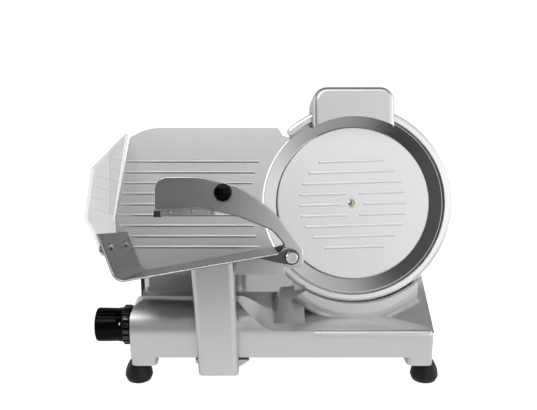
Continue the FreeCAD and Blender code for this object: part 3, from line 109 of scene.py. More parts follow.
# Seen by the camera the bench is plain white with an even glow, and only what mirrors it sees the painted
# shade and painted glow fade.
for socket, fade, seen in (
    ("Base Color", bench_painted_shade, BENCH_WHITE),
    ("Emission Strength", bench_painted_glow, BENCH_GLOW_SEEN),
):
    level = bench_tree.nodes.new("ShaderNodeMapRange")
    level.inputs["To Max"].default_value = seen
    bench_tree.links.new(bench_ray.outputs["Is Camera Ray"], level.inputs["Value"])
    bench_tree.links.new(fade.outputs["Result"], level.inputs["To Min"])
    bench_tree.links.new(level.outputs["Result"], bench_shader.inputs[socket])
bench.data.materials.append(bench_white)


# Camera: square to the blade, which leans back by 15 degrees, and a metre from it.
# Every place given as (u, v, w) is along the bench, up the blade's face and out from it. The focal
# length and the shifts are in pixels of a frame that is FRAME_WIDTH pixels wide.
blade_spin = next(joint for joint in frame["joints"] if joint["name"] == "blade_spin")
BLADE_CENTRE = Vector(blade_spin["pos_m"])
LEAN = math.radians(15)
ALONG = Vector((1, 0, 0))
UP_BLADE = Vector((0, math.sin(LEAN), math.cos(LEAN)))
OFF_BLADE = Vector((0, -math.cos(LEAN), math.sin(LEAN)))
EYE = (-0.1386, -0.0266, 1.0)
FRAME_WIDTH = 537
FOCAL = 714
SENSOR = 36.0
SHIFT_RIGHT = 14.5
SHIFT_UP = 17.0


def at_blade(u, v, w):
    """A point given from the blade's centre, along, up and off its leaning face."""
    return BLADE_CENTRE + ALONG * u + UP_BLADE * v + OFF_BLADE * w


lens = bpy.data.cameras.new("eye")
lens.sensor_width = SENSOR
lens.lens = SENSOR * FOCAL / FRAME_WIDTH
lens.shift_x = SHIFT_RIGHT / FRAME_WIDTH
lens.shift_y = SHIFT_UP / FRAME_WIDTH
eye = bpy.data.objects.new("eye", lens)
bpy.context.collection.objects.link(eye)
facing_blade = Matrix((ALONG, UP_BLADE, OFF_BLADE)).transposed().to_4x4()
eye.matrix_world = Matrix.Translation(at_blade(*EYE)) @ facing_blade
bpy.context.scene.camera = eye


# Light: a studio whose wall behind the camera is dark to the left and white to the right, with a white
# backdrop behind the slicer, a dim ceiling and a wall in shade low down. A wide soft box hangs overhead,
# a tall narrow one stands on each side, and a small one shines from the front left on the housing.
WALL_DARK = 0.14
WALL_LIGHT = 1.45
WALL_FROM = -0.04
WALL_TO = 0.18
BACKDROP = 0.75
BACKDROP_FROM = 0.0
BACKDROP_TO = 0.4
BACKDROP_SEEN = 1.05
CEILING = 0.12
CEILING_FROM = 0.28
CEILING_TO = 0.85
SKIRTING = 0.25
SKIRTING_FROM = -0.06
SKIRTING_TO = 0.16
bpy.context.scene.view_settings.view_transform = "Standard"
room = bpy.data.worlds.new("room")
bpy.context.scene.world = room
room.use_nodes = True
sky = room.node_tree
room_way = sky.nodes.new("ShaderNodeTexCoord")
room_axes = sky.nodes.new("ShaderNodeSeparateXYZ")
sky.links.new(room_way.outputs["Generated"], room_axes.inputs["Vector"])


def shaded(light, shade):
    """One level of the room dimmed by another."""
    product = sky.nodes.new("ShaderNodeMath")
    product.operation = "MULTIPLY"
    sky.links.new(light.outputs["Result"], product.inputs[0])
    sky.links.new(shade.outputs["Result"], product.inputs[1])
    return product


rightward, backward, upward = (room_axes.outputs[axis] for axis in "XYZ")
front_wall = faded(sky, rightward, WALL_FROM, WALL_TO, WALL_DARK, WALL_LIGHT)
skirting = faded(sky, upward, SKIRTING_FROM, SKIRTING_TO, SKIRTING, 1)
back_wall = faded(sky, backward, BACKDROP_FROM, BACKDROP_TO, 0, BACKDROP)
ceiling = faded(sky, upward, CEILING_FROM, CEILING_TO, 1, CEILING)
shaded_wall = shaded(front_wall, skirting)
sky.links.new(shaded_wall.outputs["Value"], back_wall.inputs["To Min"])
below_ceiling = shaded(back_wall, ceiling)
room_ray = sky.nodes.new("ShaderNodeLightPath")
room_lit = sky.nodes.new("ShaderNodeMapRange")
room_lit.inputs["To Max"].default_value = BACKDROP_SEEN
sky.nodes["Background"].inputs["Color"].default_value = (1, 1, 1, 1)
sky.links.new(below_ceiling.outputs["Value"], room_lit.inputs["To Min"])
sky.links.new(room_ray.outputs["Is Camera Ray"], room_lit.inputs["Value"])
sky.links.new(room_lit.outputs["Result"], sky.nodes["Background"].inputs["Strength"])


def soft_box(name, place, aim, width, height, watts):
    """A flat lamp at this place that shines at the aim point, width across and height the other way."""
    lamp = bpy.data.lights.new(name, "AREA")
    lamp.shape = "RECTANGLE"
    lamp.size = width
    lamp.size_y = height
    lamp.energy = watts
    held = bpy.data.objects.new(name, lamp)
    bpy.context.collection.objects.link(held)
    held.location = place
    held.rotation_euler = (Vector(aim) - Vector(place)).to_track_quat("-Z", "Y").to_euler()


soft_box("left_box", (-1.7, 0.1, 0.7), aim=(0, 0, 0.2), width=0.4, height=1.4, watts=4)
soft_box("side_box", (1.8, 0.1, 0.7), aim=(0, 0, 0.2), width=0.4, height=1.4, watts=3)
soft_box("overhead_box", (-0.05, -0.72, 1.9), aim=(0, 0, 0.1), width=2.1, height=0.45, watts=9)
soft_box("front_left_box", (-0.5, -1.24, 1.45), aim=(-0.1, 0, 0.1), width=0.8, height=0.35, watts=5.5)


# Base: an aluminium casting that carries everything, shot blasted, then coated in satin silver.
# The box under the deck, the upright with its blade bowl and the knob housing are one casting.
GRAIN_DEPTH = 0.0005
GRAIN_TONES = (0.35, 0.65)
PATCH_SHARE = 0.5
# A Mix node has several sockets of each name, so those for colour are taken by their place.
MIX_FACTOR, MIX_A, MIX_B, MIX_RESULT = 0, 6, 7, 2


def sockets_of(group, *given):
    """Adds (name, kind, into or out of, default) sockets to a node group."""
    for name, kind, side, default in given:
        socket = group.interface.new_socket(name=name, in_out=side, socket_type=kind)
        if default is not None:
            socket.default_value = default


def grain_group():
    """Fine even grain: a tone that wanders slowly and a height for the skin of the metal."""
    group = bpy.data.node_groups.new("metal_grain", "ShaderNodeTree")
    sockets_of(
        group,
        ("Stretch", "NodeSocketVector", "INPUT", (1, 1, 1)),
        ("Patch Scale", "NodeSocketFloat", "INPUT", 9.0),
        ("Grain Scale", "NodeSocketFloat", "INPUT", 900.0),
        ("Tone", "NodeSocketFloat", "OUTPUT", None),
        ("Height", "NodeSocketFloat", "OUTPUT", None),
    )
    into = group.nodes.new("NodeGroupInput")
    out = group.nodes.new("NodeGroupOutput")
    place = group.nodes.new("ShaderNodeTexCoord")
    stretched = group.nodes.new("ShaderNodeVectorMath")
    stretched.operation = "MULTIPLY"
    group.links.new(place.outputs["Object"], stretched.inputs[0])
    group.links.new(into.outputs["Stretch"], stretched.inputs[1])
    patches = group.nodes.new("ShaderNodeTexNoise")
    patches.inputs["Detail"].default_value = 3
    group.links.new(place.outputs["Object"], patches.inputs["Vector"])
    group.links.new(into.outputs["Patch Scale"], patches.inputs["Scale"])
    grains = group.nodes.new("ShaderNodeTexNoise")
    grains.inputs["Detail"].default_value = 4
    grains.inputs["Roughness"].default_value = 0.6
    group.links.new(stretched.outputs["Vector"], grains.inputs["Vector"])
    group.links.new(into.outputs["Grain Scale"], grains.inputs["Scale"])
    grain_part = group.nodes.new("ShaderNodeMath")
    grain_part.operation = "MULTIPLY"
    grain_part.inputs[1].default_value = 1 - PATCH_SHARE
    group.links.new(grains.outputs["Fac"], grain_part.inputs[0])
    both = group.nodes.new("ShaderNodeMath")
    both.operation = "MULTIPLY_ADD"
    both.inputs[1].default_value = PATCH_SHARE
    group.links.new(patches.outputs["Fac"], both.inputs[0])
    group.links.new(grain_part.outputs["Value"], both.inputs[2])
    group.links.new(both.outputs["Value"], out.inputs["Tone"])
    group.links.new(grains.outputs["Fac"], out.inputs["Height"])
    return group


metal_grain = grain_group()


def two_tone(tree, dark, light):
    """A node that mixes two colours, both given as plain (r, g, b)."""
    mix = tree.nodes.new("ShaderNodeMix")
    mix.data_type = "RGBA"
    mix.inputs[MIX_A].default_value = (*dark, 1)
    mix.inputs[MIX_B].default_value = (*light, 1)
    return mix


def finish(name, group, tones, dark, light, smooth, rough, bump, depth):
    """A finish whose colour, roughness and skin follow the Tone and Height of this group."""
    made = bpy.data.materials.new(name)
    made.use_nodes = True
    tree = made.node_tree
    shader = tree.nodes["Principled BSDF"]
    skin = tree.nodes.new("ShaderNodeGroup")
    skin.node_tree = group
    tint = two_tone(tree, dark, light)
    tree.links.new(skin.outputs["Tone"], tint.inputs[MIX_FACTOR])
    tree.links.new(tint.outputs[MIX_RESULT], shader.inputs["Base Color"])
    gloss = tree.nodes.new("ShaderNodeMapRange")
    gloss.inputs["From Min"].default_value = tones[0]
    gloss.inputs["From Max"].default_value = tones[1]
    gloss.inputs["To Min"].default_value = smooth
    gloss.inputs["To Max"].default_value = rough
    tree.links.new(skin.outputs["Tone"], gloss.inputs["Value"])
    tree.links.new(gloss.outputs["Result"], shader.inputs["Roughness"])
    relief = tree.nodes.new("ShaderNodeBump")
    relief.inputs["Strength"].default_value = bump
    relief.inputs["Distance"].default_value = depth
    tree.links.new(skin.outputs["Height"], relief.inputs["Height"])
    tree.links.new(relief.outputs["Normal"], shader.inputs["Normal"])
    return made, shader, skin


def grained(
    name, dark, light, metallic, smooth, rough, bump, stretch=(1, 1, 1), patch=9.0, grain=900.0, shine=0.5
):
    """A finish with the metal grain: smooth and rough are its roughness where it is dark and light."""
    made, shader, skin = finish(
        name, metal_grain, GRAIN_TONES, dark, light, smooth, rough, bump, GRAIN_DEPTH
    )
    shader.inputs["Metallic"].default_value = metallic
    shader.inputs["Specular IOR Level"].default_value = shine
    skin.inputs["Stretch"].default_value = stretch
    skin.inputs["Patch Scale"].default_value = patch
    skin.inputs["Grain Scale"].default_value = grain
    return made


def dressed(material, *nodes):
    """Gives these CAD nodes this finish."""
    for name in nodes:
        frame["nodes"][name].material_slots[0].material = material


coated_casting = grained(
    "coated_casting", dark=(0.60, 0.61, 0.61), light=(0.78, 0.785, 0.785),
    metallic=0.9, smooth=0.30, rough=0.42, bump=0.15,
)
dressed(coated_casting, "base_casting", "motor_cover", "carriage_arm")


# Bottom plate: a rolled sheet that closes the casting from below, held by six small screws.
# Zinc plated screws like them hold the panel, the slice deflector, the blade, the gauge plate, the arm
# and the feet.
rolled_sheet = grained(
    "rolled_sheet", dark=(0.42, 0.43, 0.42), light=(0.56, 0.57, 0.56),
    metallic=1.0, smooth=0.34, rough=0.46, bump=0.08,
)
zinc_plate = grained(
    "zinc_plate", dark=(0.5, 0.5, 0.5), light=(0.7, 0.7, 0.69),
    metallic=1.0, smooth=0.22, rough=0.34, bump=0.05,
)
dressed(rolled_sheet, "base_bottom_plate")
dressed(zinc_plate, "foot_screws", "m4_screws", "blade_screws", "gauge_screws", "arm_screws")


# Feet: moulded rubber bells, each screwed up into a leg of the casting.
# The rubber is dull black with a faint bloom.
bloomed_rubber = grained(
    "bloomed_rubber", dark=(0.005, 0.005, 0.005), light=(0.012, 0.012, 0.012),
    metallic=0.0, smooth=0.36, rough=0.5, bump=0.3, shine=0.3,
)
dressed(bloomed_rubber, "foot_front_left", "foot_front_right", "foot_rear_left", "foot_rear_right")


# Drive: a motor in the well of the casting turns the blade by a ribbed belt.
# Both pulleys are turned from cast aluminium.
turned_casting = grained(
    "turned_casting", dark=(0.48, 0.48, 0.48), light=(0.64, 0.64, 0.63),
    metallic=1.0, smooth=0.3, rough=0.45, bump=0.2,
)
ground_steel = grained(
    "ground_steel", dark=(0.6, 0.6, 0.6), light=(0.76, 0.76, 0.77),
    metallic=1.0, smooth=0.12, rough=0.22, bump=0.05,
)
belt_black = grained(
    "belt_black", dark=(0.02, 0.02, 0.02), light=(0.05, 0.05, 0.05),
    metallic=0.0, smooth=0.5, rough=0.7, bump=0.4,
)
motor_paint = grained(
    "motor_paint", dark=(0.07, 0.07, 0.08), light=(0.14, 0.14, 0.15),
    metallic=0.4, smooth=0.4, rough=0.6, bump=0.3,
)
dressed(turned_casting, "motor_pulley", "blade_pulley")
dressed(ground_steel, "motor_shaft", "blade_bearings", "blade_spindle")
dressed(belt_black, "drive_belt")
dressed(motor_paint, "motor_stator")


# Blade: hardened chromed steel, hollow ground, screwed to its pulley.
# The grinding leaves fine rings, and the bevel mirrors the room.
RING_DEPTH = 0.0004
RING_TONES = (0.3, 0.7)


def rings_group():
    """Fine rings round the blade's axis: a tone and a height that change with the radius."""
    group = bpy.data.node_groups.new("turned_rings", "ShaderNodeTree")
    sockets_of(
        group,
        ("Ring Scale", "NodeSocketFloat", "INPUT", 900.0),
        ("Tone", "NodeSocketFloat", "OUTPUT", None),
        ("Height", "NodeSocketFloat", "OUTPUT", None),
        ("Radius", "NodeSocketFloat", "OUTPUT", None),
    )
    into = group.nodes.new("NodeGroupInput")
    out = group.nodes.new("NodeGroupOutput")
    place = group.nodes.new("ShaderNodeTexCoord")
    upright = group.nodes.new("ShaderNodeMapping")
    upright.vector_type = "TEXTURE"
    upright.inputs["Location"].default_value = BLADE_CENTRE
    upright.inputs["Rotation"].default_value = (math.radians(90) - LEAN, 0, 0)
    group.links.new(place.outputs["Object"], upright.inputs["Vector"])
    flat = group.nodes.new("ShaderNodeVectorMath")
    flat.operation = "MULTIPLY"
    flat.inputs[1].default_value = (1, 1, 0)
    group.links.new(upright.outputs["Vector"], flat.inputs[0])
    reach = group.nodes.new("ShaderNodeVectorMath")
    reach.operation = "LENGTH"
    group.links.new(flat.outputs["Vector"], reach.inputs[0])
    rings = group.nodes.new("ShaderNodeTexNoise")
    rings.noise_dimensions = "1D"
    rings.inputs["Detail"].default_value = 4
    group.links.new(reach.outputs["Value"], rings.inputs["W"])
    group.links.new(into.outputs["Ring Scale"], rings.inputs["Scale"])
    group.links.new(rings.outputs["Fac"], out.inputs["Tone"])
    group.links.new(rings.outputs["Fac"], out.inputs["Height"])
    group.links.new(reach.outputs["Value"], out.inputs["Radius"])
    return group


turned_rings = rings_group()


def ringed(name, dark, light, smooth, rough, bump, scale):
    """A metal whose colour, roughness and skin follow rings round the blade's axis."""
    made, shader, skin = finish(
        name, turned_rings, RING_TONES, dark, light, smooth, rough, bump, RING_DEPTH
    )
    shader.inputs["Metallic"].default_value = 1
    skin.inputs["Ring Scale"].default_value = scale
    return made


mirror_steel = ringed(
    "mirror_steel", dark=(0.44, 0.44, 0.45), light=(0.52, 0.52, 0.53),
    smooth=0.10, rough=0.17, bump=0.06, scale=1400.0,
)
dressed(mirror_steel, "blade")


# Blade guards: a turned aluminium crescent round the blade, fixed to the rim of the bowl, and a cover
# disc in front of it, blasted and anodised, with low ribs across its face. The bolt in the middle of
# the disc carries a painted brown reflection, and its rim is painted a light grey.
turned_guard = ringed(
    "turned_guard", dark=(0.74, 0.74, 0.74), light=(0.88, 0.88, 0.88),
    smooth=0.24, rough=0.34, bump=0.10, scale=800.0,
)
satin_plate = grained(
    "satin_plate", dark=(0.86, 0.86, 0.86), light=(0.97, 0.97, 0.97),
    metallic=1.0, smooth=0.42, rough=0.50, bump=0.10,
)
# The bolt's rim is painted a light grey, and its brown is a painted reflection.
BOLT_RIM_FROM = 0.0044
BOLT_RIM_TO = 0.0050
BOLT_RIM_GREY = (0.86, 0.86, 0.86)
bolt_painted_reflection = ringed(
    "bolt_painted_reflection", dark=(0.40, 0.34, 0.27), light=(0.53, 0.47, 0.39),
    smooth=0.14, rough=0.2, bump=0.05, scale=900.0,
)
bolt_tree = bolt_painted_reflection.node_tree
bolt_rim = bolt_tree.nodes.new("ShaderNodeMapRange")
bolt_rim.inputs["From Min"].default_value = BOLT_RIM_FROM
bolt_rim.inputs["From Max"].default_value = BOLT_RIM_TO
bolt_tree.links.new(bolt_tree.nodes["Group"].outputs["Radius"], bolt_rim.inputs["Value"])
bolt_painted_brown = bolt_tree.nodes["Mix"]
bolt_rim_and_centre = two_tone(bolt_tree, BOLT_RIM_GREY, BOLT_RIM_GREY)
bolt_tree.links.new(bolt_rim.outputs["Result"], bolt_rim_and_centre.inputs[MIX_FACTOR])
bolt_tree.links.new(bolt_painted_brown.outputs[MIX_RESULT], bolt_rim_and_centre.inputs[MIX_A])
bolt_colour = bolt_tree.nodes["Principled BSDF"].inputs["Base Color"]
bolt_tree.links.new(bolt_rim_and_centre.outputs[MIX_RESULT], bolt_colour)
dressed(turned_guard, "blade_ring_guard")
dressed(satin_plate, "blade_cover")
dressed(bolt_painted_reflection, "blade_cover_bolt")


# Gauge plate: the ribbed aluminium fence that sets the slice, brushed up its face and anodised.
# The slice deflector behind the blade is a plain bent sheet.
brushed_plate = grained(
    "brushed_plate", dark=(0.66, 0.66, 0.66), light=(0.82, 0.82, 0.82),
    metallic=1.0, smooth=0.44, rough=0.54, bump=0.10, stretch=(1, 0.03, 0.03), grain=500.0,
)
dressed(brushed_plate, "gauge_plate")
dressed(rolled_sheet, "slice_deflector")


# Carriage guide: a ground rod and a flat rail under the deck, and the cast slider that runs on them.
# The other rods, shafts and pins are ground steel too, and their bushes are sintered bronze.
sintered_bronze = grained(
    "sintered_bronze", dark=(0.45, 0.3, 0.14), light=(0.62, 0.44, 0.22),
    metallic=1.0, smooth=0.35, rough=0.5, bump=0.3,
)
dressed(ground_steel, "carriage_guide_rod", "carriage_guide_rail", "gauge_guide_rod")
dressed(ground_steel, "gauge_follower_pin", "knob_shaft", "sharpener_post")
dressed(sintered_bronze, "slider_bushes", "gauge_guide_bush", "knob_shaft_bush")
dressed(turned_casting, "carriage_slider", "gauge_bracket", "tray_bracket", "knob_cam_disc")


# Thickness knob: a glossy black moulding on the end of its shaft.
# Raised pads round its skirt give the fingers a grip, and a white dot on the grip is a painted highlight,
# standing in for a glint.
PADS = 18
PAD_LONG = 0.0085
PAD_WIDE = 0.0056
PAD_PROUD = 0.0009
PAD_SUNK = 0.0008
PAD_ROUNDING = 0.0007
SKIRT_R = 0.026
SKIRT_MIDDLE = 0.0068
GRIP_R = 0.0230
DOT_SIDES = 24
DOT_R = 0.0019
DOT_THICK = 0.0008
DOT_ROUNDING = 0.0002
DOT_FROM_BASE = 0.0145
DOT_ANGLE = math.radians(-24)
MOULDED_EDGE = math.radians(50)
gloss_black = grained(
    "gloss_black", dark=(0.002, 0.002, 0.002), light=(0.004, 0.004, 0.004),
    metallic=0.0, smooth=0.05, rough=0.09, bump=0.05, shine=0.06,
)
dressed(gloss_black, "thickness_knob", "pusher_knob", "grinding_button", "honing_button")
knob_low, knob_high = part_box("thickness_knob")
KNOB_AXIS = Vector((knob_high.x, (knob_low.y + knob_high.y) / 2, (knob_low.z + knob_high.z) / 2))


def about_knob(angle):
    """A turn round the knob's axis."""
    turn = Matrix.Rotation(angle, 4, "X")
    return Matrix.Translation(KNOB_AXIS) @ turn @ Matrix.Translation(-KNOB_AXIS)


def moulded(rounding, segments):
    """Rounds every edge of the piece just added, as a mould does, once its size is applied."""
    bpy.ops.object.transform_apply(location=True, rotation=True, scale=True)
    bpy.ops.object.mode_set(mode="EDIT")
    bpy.ops.mesh.select_all(action="SELECT")
    bpy.ops.mesh.bevel(offset=rounding, segments=segments, affect="EDGES")
    bpy.ops.object.mode_set(mode="OBJECT")
    bpy.ops.object.shade_smooth_by_angle(angle=MOULDED_EDGE)


nothing_selected()
pad_place = KNOB_AXIS + Vector((-SKIRT_MIDDLE, -SKIRT_R - (PAD_PROUD - PAD_SUNK) / 2, 0))
bpy.ops.mesh.primitive_cube_add(size=1, location=pad_place)
pad = bpy.context.object
pad.name = "knob_pad_00"
pad.scale = (PAD_LONG, PAD_PROUD + PAD_SUNK, PAD_WIDE)
moulded(PAD_ROUNDING, segments=3)
pad_gloss = grained(
    "pad_gloss", dark=(0.004, 0.004, 0.004), light=(0.009, 0.009, 0.009),
    metallic=0.0, smooth=0.1, rough=0.16, bump=0.05, shine=0.7,
)
pad.data.materials.append(pad_gloss)
pads = [pad]
for k in range(1, PADS):
    copy = pad.copy()
    copy.data = pad.data.copy()
    copy.name = "knob_pad_%02d" % k
    copy.data.transform(about_knob(2 * math.pi * k / PADS))
    bpy.context.collection.objects.link(copy)
    pads.append(copy)
for piece in pads:
    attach(piece, "knob")

# A white dot on the grip: a painted highlight in place of a glint.
nothing_selected()
dot_place = KNOB_AXIS + Vector((-DOT_FROM_BASE, -GRIP_R, 0))
bpy.ops.mesh.primitive_cylinder_add(
    vertices=DOT_SIDES, radius=DOT_R, depth=DOT_THICK, location=dot_place, rotation=(math.pi / 2, 0, 0)
)
dot = bpy.context.object
dot.name = "knob_painted_glint"
moulded(DOT_ROUNDING, segments=2)
dot.data.transform(about_knob(DOT_ANGLE))
painted_glint_white = grained(
    "painted_glint_white", dark=(0.7, 0.7, 0.68), light=(0.82, 0.82, 0.8),
    metallic=0.0, smooth=0.3, rough=0.4, bump=0.05,
)
dot.data.materials.append(painted_glint_white)
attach(dot, "knob")


# Switch panel: a black moulding at the end of the electrical housing, with a green start button and a
# red stop button. The cord gland and the rubber bumper of the press are as black.
satin_black = grained(
    "satin_black", dark=(0.012, 0.012, 0.012), light=(0.03, 0.03, 0.03),
    metallic=0.0, smooth=0.35, rough=0.5, bump=0.25,
)
button_green = grained(
    "button_green", dark=(0.02, 0.2, 0.05), light=(0.03, 0.28, 0.08),
    metallic=0.0, smooth=0.2, rough=0.3, bump=0.05,
)
button_red = grained(
    "button_red", dark=(0.4, 0.02, 0.015), light=(0.52, 0.03, 0.02),
    metallic=0.0, smooth=0.2, rough=0.3, bump=0.05,
)
dressed(satin_black, "switch_panel", "switch_block", "cord_inlet", "pusher_bumper")
dressed(button_green, "start_button")
dressed(button_red, "stop_button")


# Tray: a bent and anodised aluminium sheet on the arm, its front edge rolled into a smooth bead whose
# light colour is a painted highlight.
# The bead runs down the end wall, round the bend and along the floor.
TRAY_TOP = Vector((-0.3175, -0.041))
TRAY_CORNER = Vector((-0.296, -0.0965))
TRAY_END = Vector((-0.111, -0.064))
TRAY_SHEET = 0.0025
TRAY_FRONT = 0.191
TRAY_BEND = 0.0145
BEND_STEPS = 8
BEAD_R = 0.0016
BEAD_SIDES = 12
BEAD_EDGE = math.radians(50)
tray_skin = grained(
    "tray_skin", dark=(0.11, 0.112, 0.104), light=(0.15, 0.153, 0.144),
    metallic=1.0, smooth=0.24, rough=0.34, bump=0.08,
)
dressed(tray_skin, "carriage_tray")

wall_way = (TRAY_CORNER - TRAY_TOP).normalized()
floor_way = (TRAY_END - TRAY_CORNER).normalized()
wall_in = Vector((-wall_way.y, wall_way.x))
bend = wall_way.angle(floor_way)
bend_reach = TRAY_BEND * math.tan(bend / 2)
wall_long = (TRAY_CORNER - TRAY_TOP).length - bend_reach
floor_long = (TRAY_END - TRAY_CORNER).length - bend_reach
bead_start = TRAY_TOP + wall_in * (TRAY_SHEET / 2)
bend_centre = TRAY_CORNER - wall_way * bend_reach + wall_in * TRAY_BEND


def along_blade(step):
    """A move given as (u, v), turned into the scene's own axes."""
    return ALONG * step.x + UP_BLADE * step.y


nothing_selected()
bead_turn = Matrix((OFF_BLADE, along_blade(wall_in), along_blade(wall_way))).transposed()
bpy.ops.mesh.primitive_circle_add(
    vertices=BEAD_SIDES,
    radius=BEAD_R,
    fill_type="NGON",
    location=at_blade(*bead_start, TRAY_FRONT - BEAD_R / 2),
    rotation=bead_turn.to_euler(),
)
bead = bpy.context.object
bead.name = "tray_bead"
bpy.ops.object.transform_apply(location=True, rotation=True, scale=True)
bpy.ops.object.mode_set(mode="EDIT")
bpy.ops.mesh.select_all(action="SELECT")
bpy.ops.mesh.extrude_region_move(TRANSFORM_OT_translate={"value": along_blade(wall_way * wall_long)})
bpy.ops.mesh.spin(
    steps=BEND_STEPS, angle=-bend, center=at_blade(*bend_centre, TRAY_FRONT), axis=OFF_BLADE
)
bpy.ops.mesh.extrude_region_move(TRANSFORM_OT_translate={"value": along_blade(floor_way * floor_long)})
bpy.ops.mesh.select_all(action="SELECT")
bpy.ops.mesh.normals_make_consistent(inside=False)
bpy.ops.object.mode_set(mode="OBJECT")
bpy.ops.object.shade_smooth_by_angle(angle=BEAD_EDGE)
# The bead is the same sheet as the tray, and its light grey is a painted highlight.
bead_painted_highlight = grained(
    "bead_painted_highlight", dark=(0.55, 0.55, 0.54), light=(0.68, 0.68, 0.67),
    metallic=1.0, smooth=0.16, rough=0.24, bump=0.05,
)
bead.data.materials.append(bead_painted_highlight)
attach(bead, "carriage")


# Clear guard: a bent sheet of clear polycarbonate, bolted to the outside of the tray's end wall.
# Seen square on it hardly shows, and seen along the sheet it turns smoky with a warm edge.
CLEAR_ROUGH = 0.05
CLEAR_BLEND = 0.35
CLEAR_SQUARE_ON = 0.06
CLEAR_EDGE_ON = 0.55
CLEAR_GREY = (0.34, 0.34, 0.34)
CLEAR_WARM = (0.42, 0.36, 0.34)
clear_sheet = bpy.data.materials.new("clear_sheet")
clear_sheet.use_nodes = True
clear_tree = clear_sheet.node_tree
clear_shader = clear_tree.nodes["Principled BSDF"]
clear_shader.inputs["Roughness"].default_value = CLEAR_ROUGH
clear_facing = clear_tree.nodes.new("ShaderNodeLayerWeight")
clear_facing.inputs["Blend"].default_value = CLEAR_BLEND
clear_tint = two_tone(clear_tree, CLEAR_GREY, CLEAR_WARM)
clear_cover = clear_tree.nodes.new("ShaderNodeMapRange")
clear_cover.inputs["To Min"].default_value = CLEAR_SQUARE_ON
clear_cover.inputs["To Max"].default_value = CLEAR_EDGE_ON
clear_tree.links.new(clear_facing.outputs["Facing"], clear_tint.inputs[MIX_FACTOR])
clear_tree.links.new(clear_tint.outputs[MIX_RESULT], clear_shader.inputs["Base Color"])
clear_tree.links.new(clear_facing.outputs["Facing"], clear_cover.inputs["Value"])
clear_tree.links.new(clear_cover.outputs["Result"], clear_shader.inputs["Alpha"])
dressed(clear_sheet, "clear_guard")
dressed(zinc_plate, "guard_bolts")


# Press: cast aluminium plate, sanded to a satin finish, on a collar that slides along a ground rod.
# A turned nut with a grooved head and a recess in its end holds the rod, and small domed screws hold
# the polished spiked strip behind the plate's lower edge.
NUT_R = 0.0066
NUT_LONG = 0.0100
NUT_FOOT_R = 0.0058
NUT_FOOT_BEVEL = 0.0006
GROOVE_R = 0.0057
GROOVE_FROM = 0.0030
GROOVE_TO = 0.0048
GROOVE_FLARE = 0.0004
CROWN_R = 0.0056
CROWN_HIGH = 0.0012
LIP_R = 0.0044
DISH_R = 0.0040
DISH_DEEP = 0.0006
RECESS_MOUTH_R = 0.0032
RECESS_R = 0.0029
RECESS_DEEP = 0.0026
DRILL_TIP_R = 0.0006
DRILL_DEEP = 0.0044
STRIP_SCREWS = ((-0.2371, -0.0157), (-0.2108, -0.0143), (-0.1868, -0.0155))
STRIP_FACE = 0.1680
SCREW_SIDES = 20
SCREW_R = 0.0021
SCREW_RIM = 0.0005
SCREW_SHOULDER_R = 0.0015
SCREW_SHOULDER = 0.0011
SCREW_HIGH = 0.0012
SOCKET_MOUTH_R = 0.0009
SOCKET_R = 0.0008
SOCKET_DEEP = 0.0006
TURNED_EDGE = math.radians(35)
sanded_press = grained(
    "sanded_press", dark=(0.58, 0.585, 0.59), light=(0.70, 0.705, 0.71),
    metallic=1.0, smooth=0.16, rough=0.24, bump=0.08,
)
polished_strip = grained(
    "polished_strip", dark=(0.74, 0.74, 0.73), light=(0.88, 0.88, 0.87),
    metallic=1.0, smooth=0.2, rough=0.3, bump=0.05,
)
dressed(sanded_press, "pusher_plate")
dressed(polished_strip, "pusher_teeth")
dressed(ground_steel, "pusher_rod", "pusher_collar")


def turned(name, profile, place, way, sides=40):
    """A turned piece: each (radius, height) step is extruded from the last, then set along the way."""
    nothing_selected()
    bpy.ops.mesh.primitive_circle_add(
        vertices=sides, radius=profile[0][0], fill_type="NGON", location=(0, 0, profile[0][1])
    )
    piece = bpy.context.object
    piece.name = name
    bpy.ops.object.transform_apply(location=True, rotation=True, scale=True)
    bpy.ops.object.mode_set(mode="EDIT")
    bpy.ops.mesh.select_all(action="SELECT")
    for (was, low), (now, high) in zip(profile, profile[1:]):
        bpy.ops.mesh.extrude_region_move(TRANSFORM_OT_translate={"value": (0, 0, high - low)})
        bpy.ops.transform.resize(value=(now / was, now / was, 1), center_override=(0, 0, high))
    bpy.ops.mesh.select_all(action="SELECT")
    bpy.ops.mesh.normals_make_consistent(inside=False)
    bpy.ops.object.mode_set(mode="OBJECT")
    bpy.ops.object.shade_smooth_by_angle(angle=TURNED_EDGE)
    stand = way.to_track_quat("Z", "Y").to_matrix().to_4x4()
    piece.data.transform(Matrix.Translation(place) @ stand)
    return piece


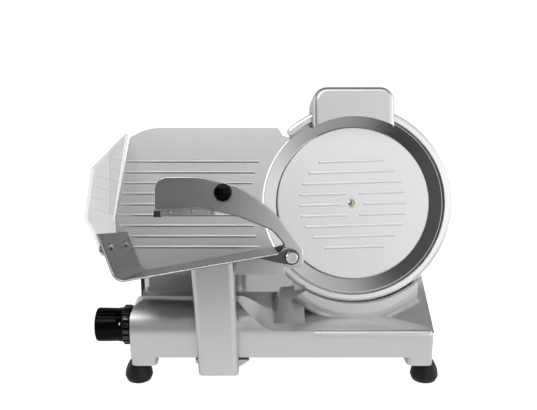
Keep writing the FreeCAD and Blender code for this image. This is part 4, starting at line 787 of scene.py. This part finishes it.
nut_low, nut_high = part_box("pusher_rod_nut")
nut_foot = (nut_low + nut_high) / 2 - OFF_BLADE * NUT_LONG / 2
nut_profile = (
    (NUT_FOOT_R, 0.0),
    (NUT_R, NUT_FOOT_BEVEL),
    (NUT_R, GROOVE_FROM),
    (GROOVE_R, GROOVE_FROM + GROOVE_FLARE),
    (GROOVE_R, GROOVE_TO - GROOVE_FLARE),
    (NUT_R, GROOVE_TO),
    (NUT_R, NUT_LONG - CROWN_HIGH),
    (CROWN_R, NUT_LONG),
    (LIP_R, NUT_LONG),
    (DISH_R, NUT_LONG - DISH_DEEP),
    (RECESS_MOUTH_R, NUT_LONG - DISH_DEEP),
    (RECESS_R, NUT_LONG - RECESS_DEEP),
    (DRILL_TIP_R, NUT_LONG - DRILL_DEEP),
)
nut = turned("rod_nut_turned", nut_profile, nut_foot, OFF_BLADE)
nut_steel = grained(
    "nut_steel", dark=(0.66, 0.66, 0.66), light=(0.82, 0.82, 0.82),
    metallic=1.0, smooth=0.1, rough=0.18, bump=0.05,
)
nut.data.materials.append(nut_steel)
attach(nut, "carriage")
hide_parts("pusher_rod_nut")

screw_profile = (
    (SCREW_R, 0.0),
    (SCREW_R, SCREW_RIM),
    (SCREW_SHOULDER_R, SCREW_SHOULDER),
    (SOCKET_MOUTH_R, SCREW_HIGH),
    (SOCKET_R, SCREW_HIGH - SOCKET_DEEP),
)
for k, (u, v) in enumerate(STRIP_SCREWS):
    place = at_blade(u, v, STRIP_FACE)
    screw = turned("strip_screw_%d" % k, screw_profile, place, OFF_BLADE, sides=SCREW_SIDES)
    screw.data.materials.append(zinc_plate)
    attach(screw, "pusher")


# Sharpener: a cast and coated hood over two small stones of bonded grit, one to grind and one to hone.
# Two push buttons bring them to the blade.
stone_grit = grained(
    "stone_grit", dark=(0.25, 0.24, 0.23), light=(0.5, 0.48, 0.46),
    metallic=0.0, smooth=0.8, rough=0.95, bump=0.8,
)
dressed(stone_grit, "grinding_stone", "honing_stone")
dressed(coated_casting, "sharpener_housing")
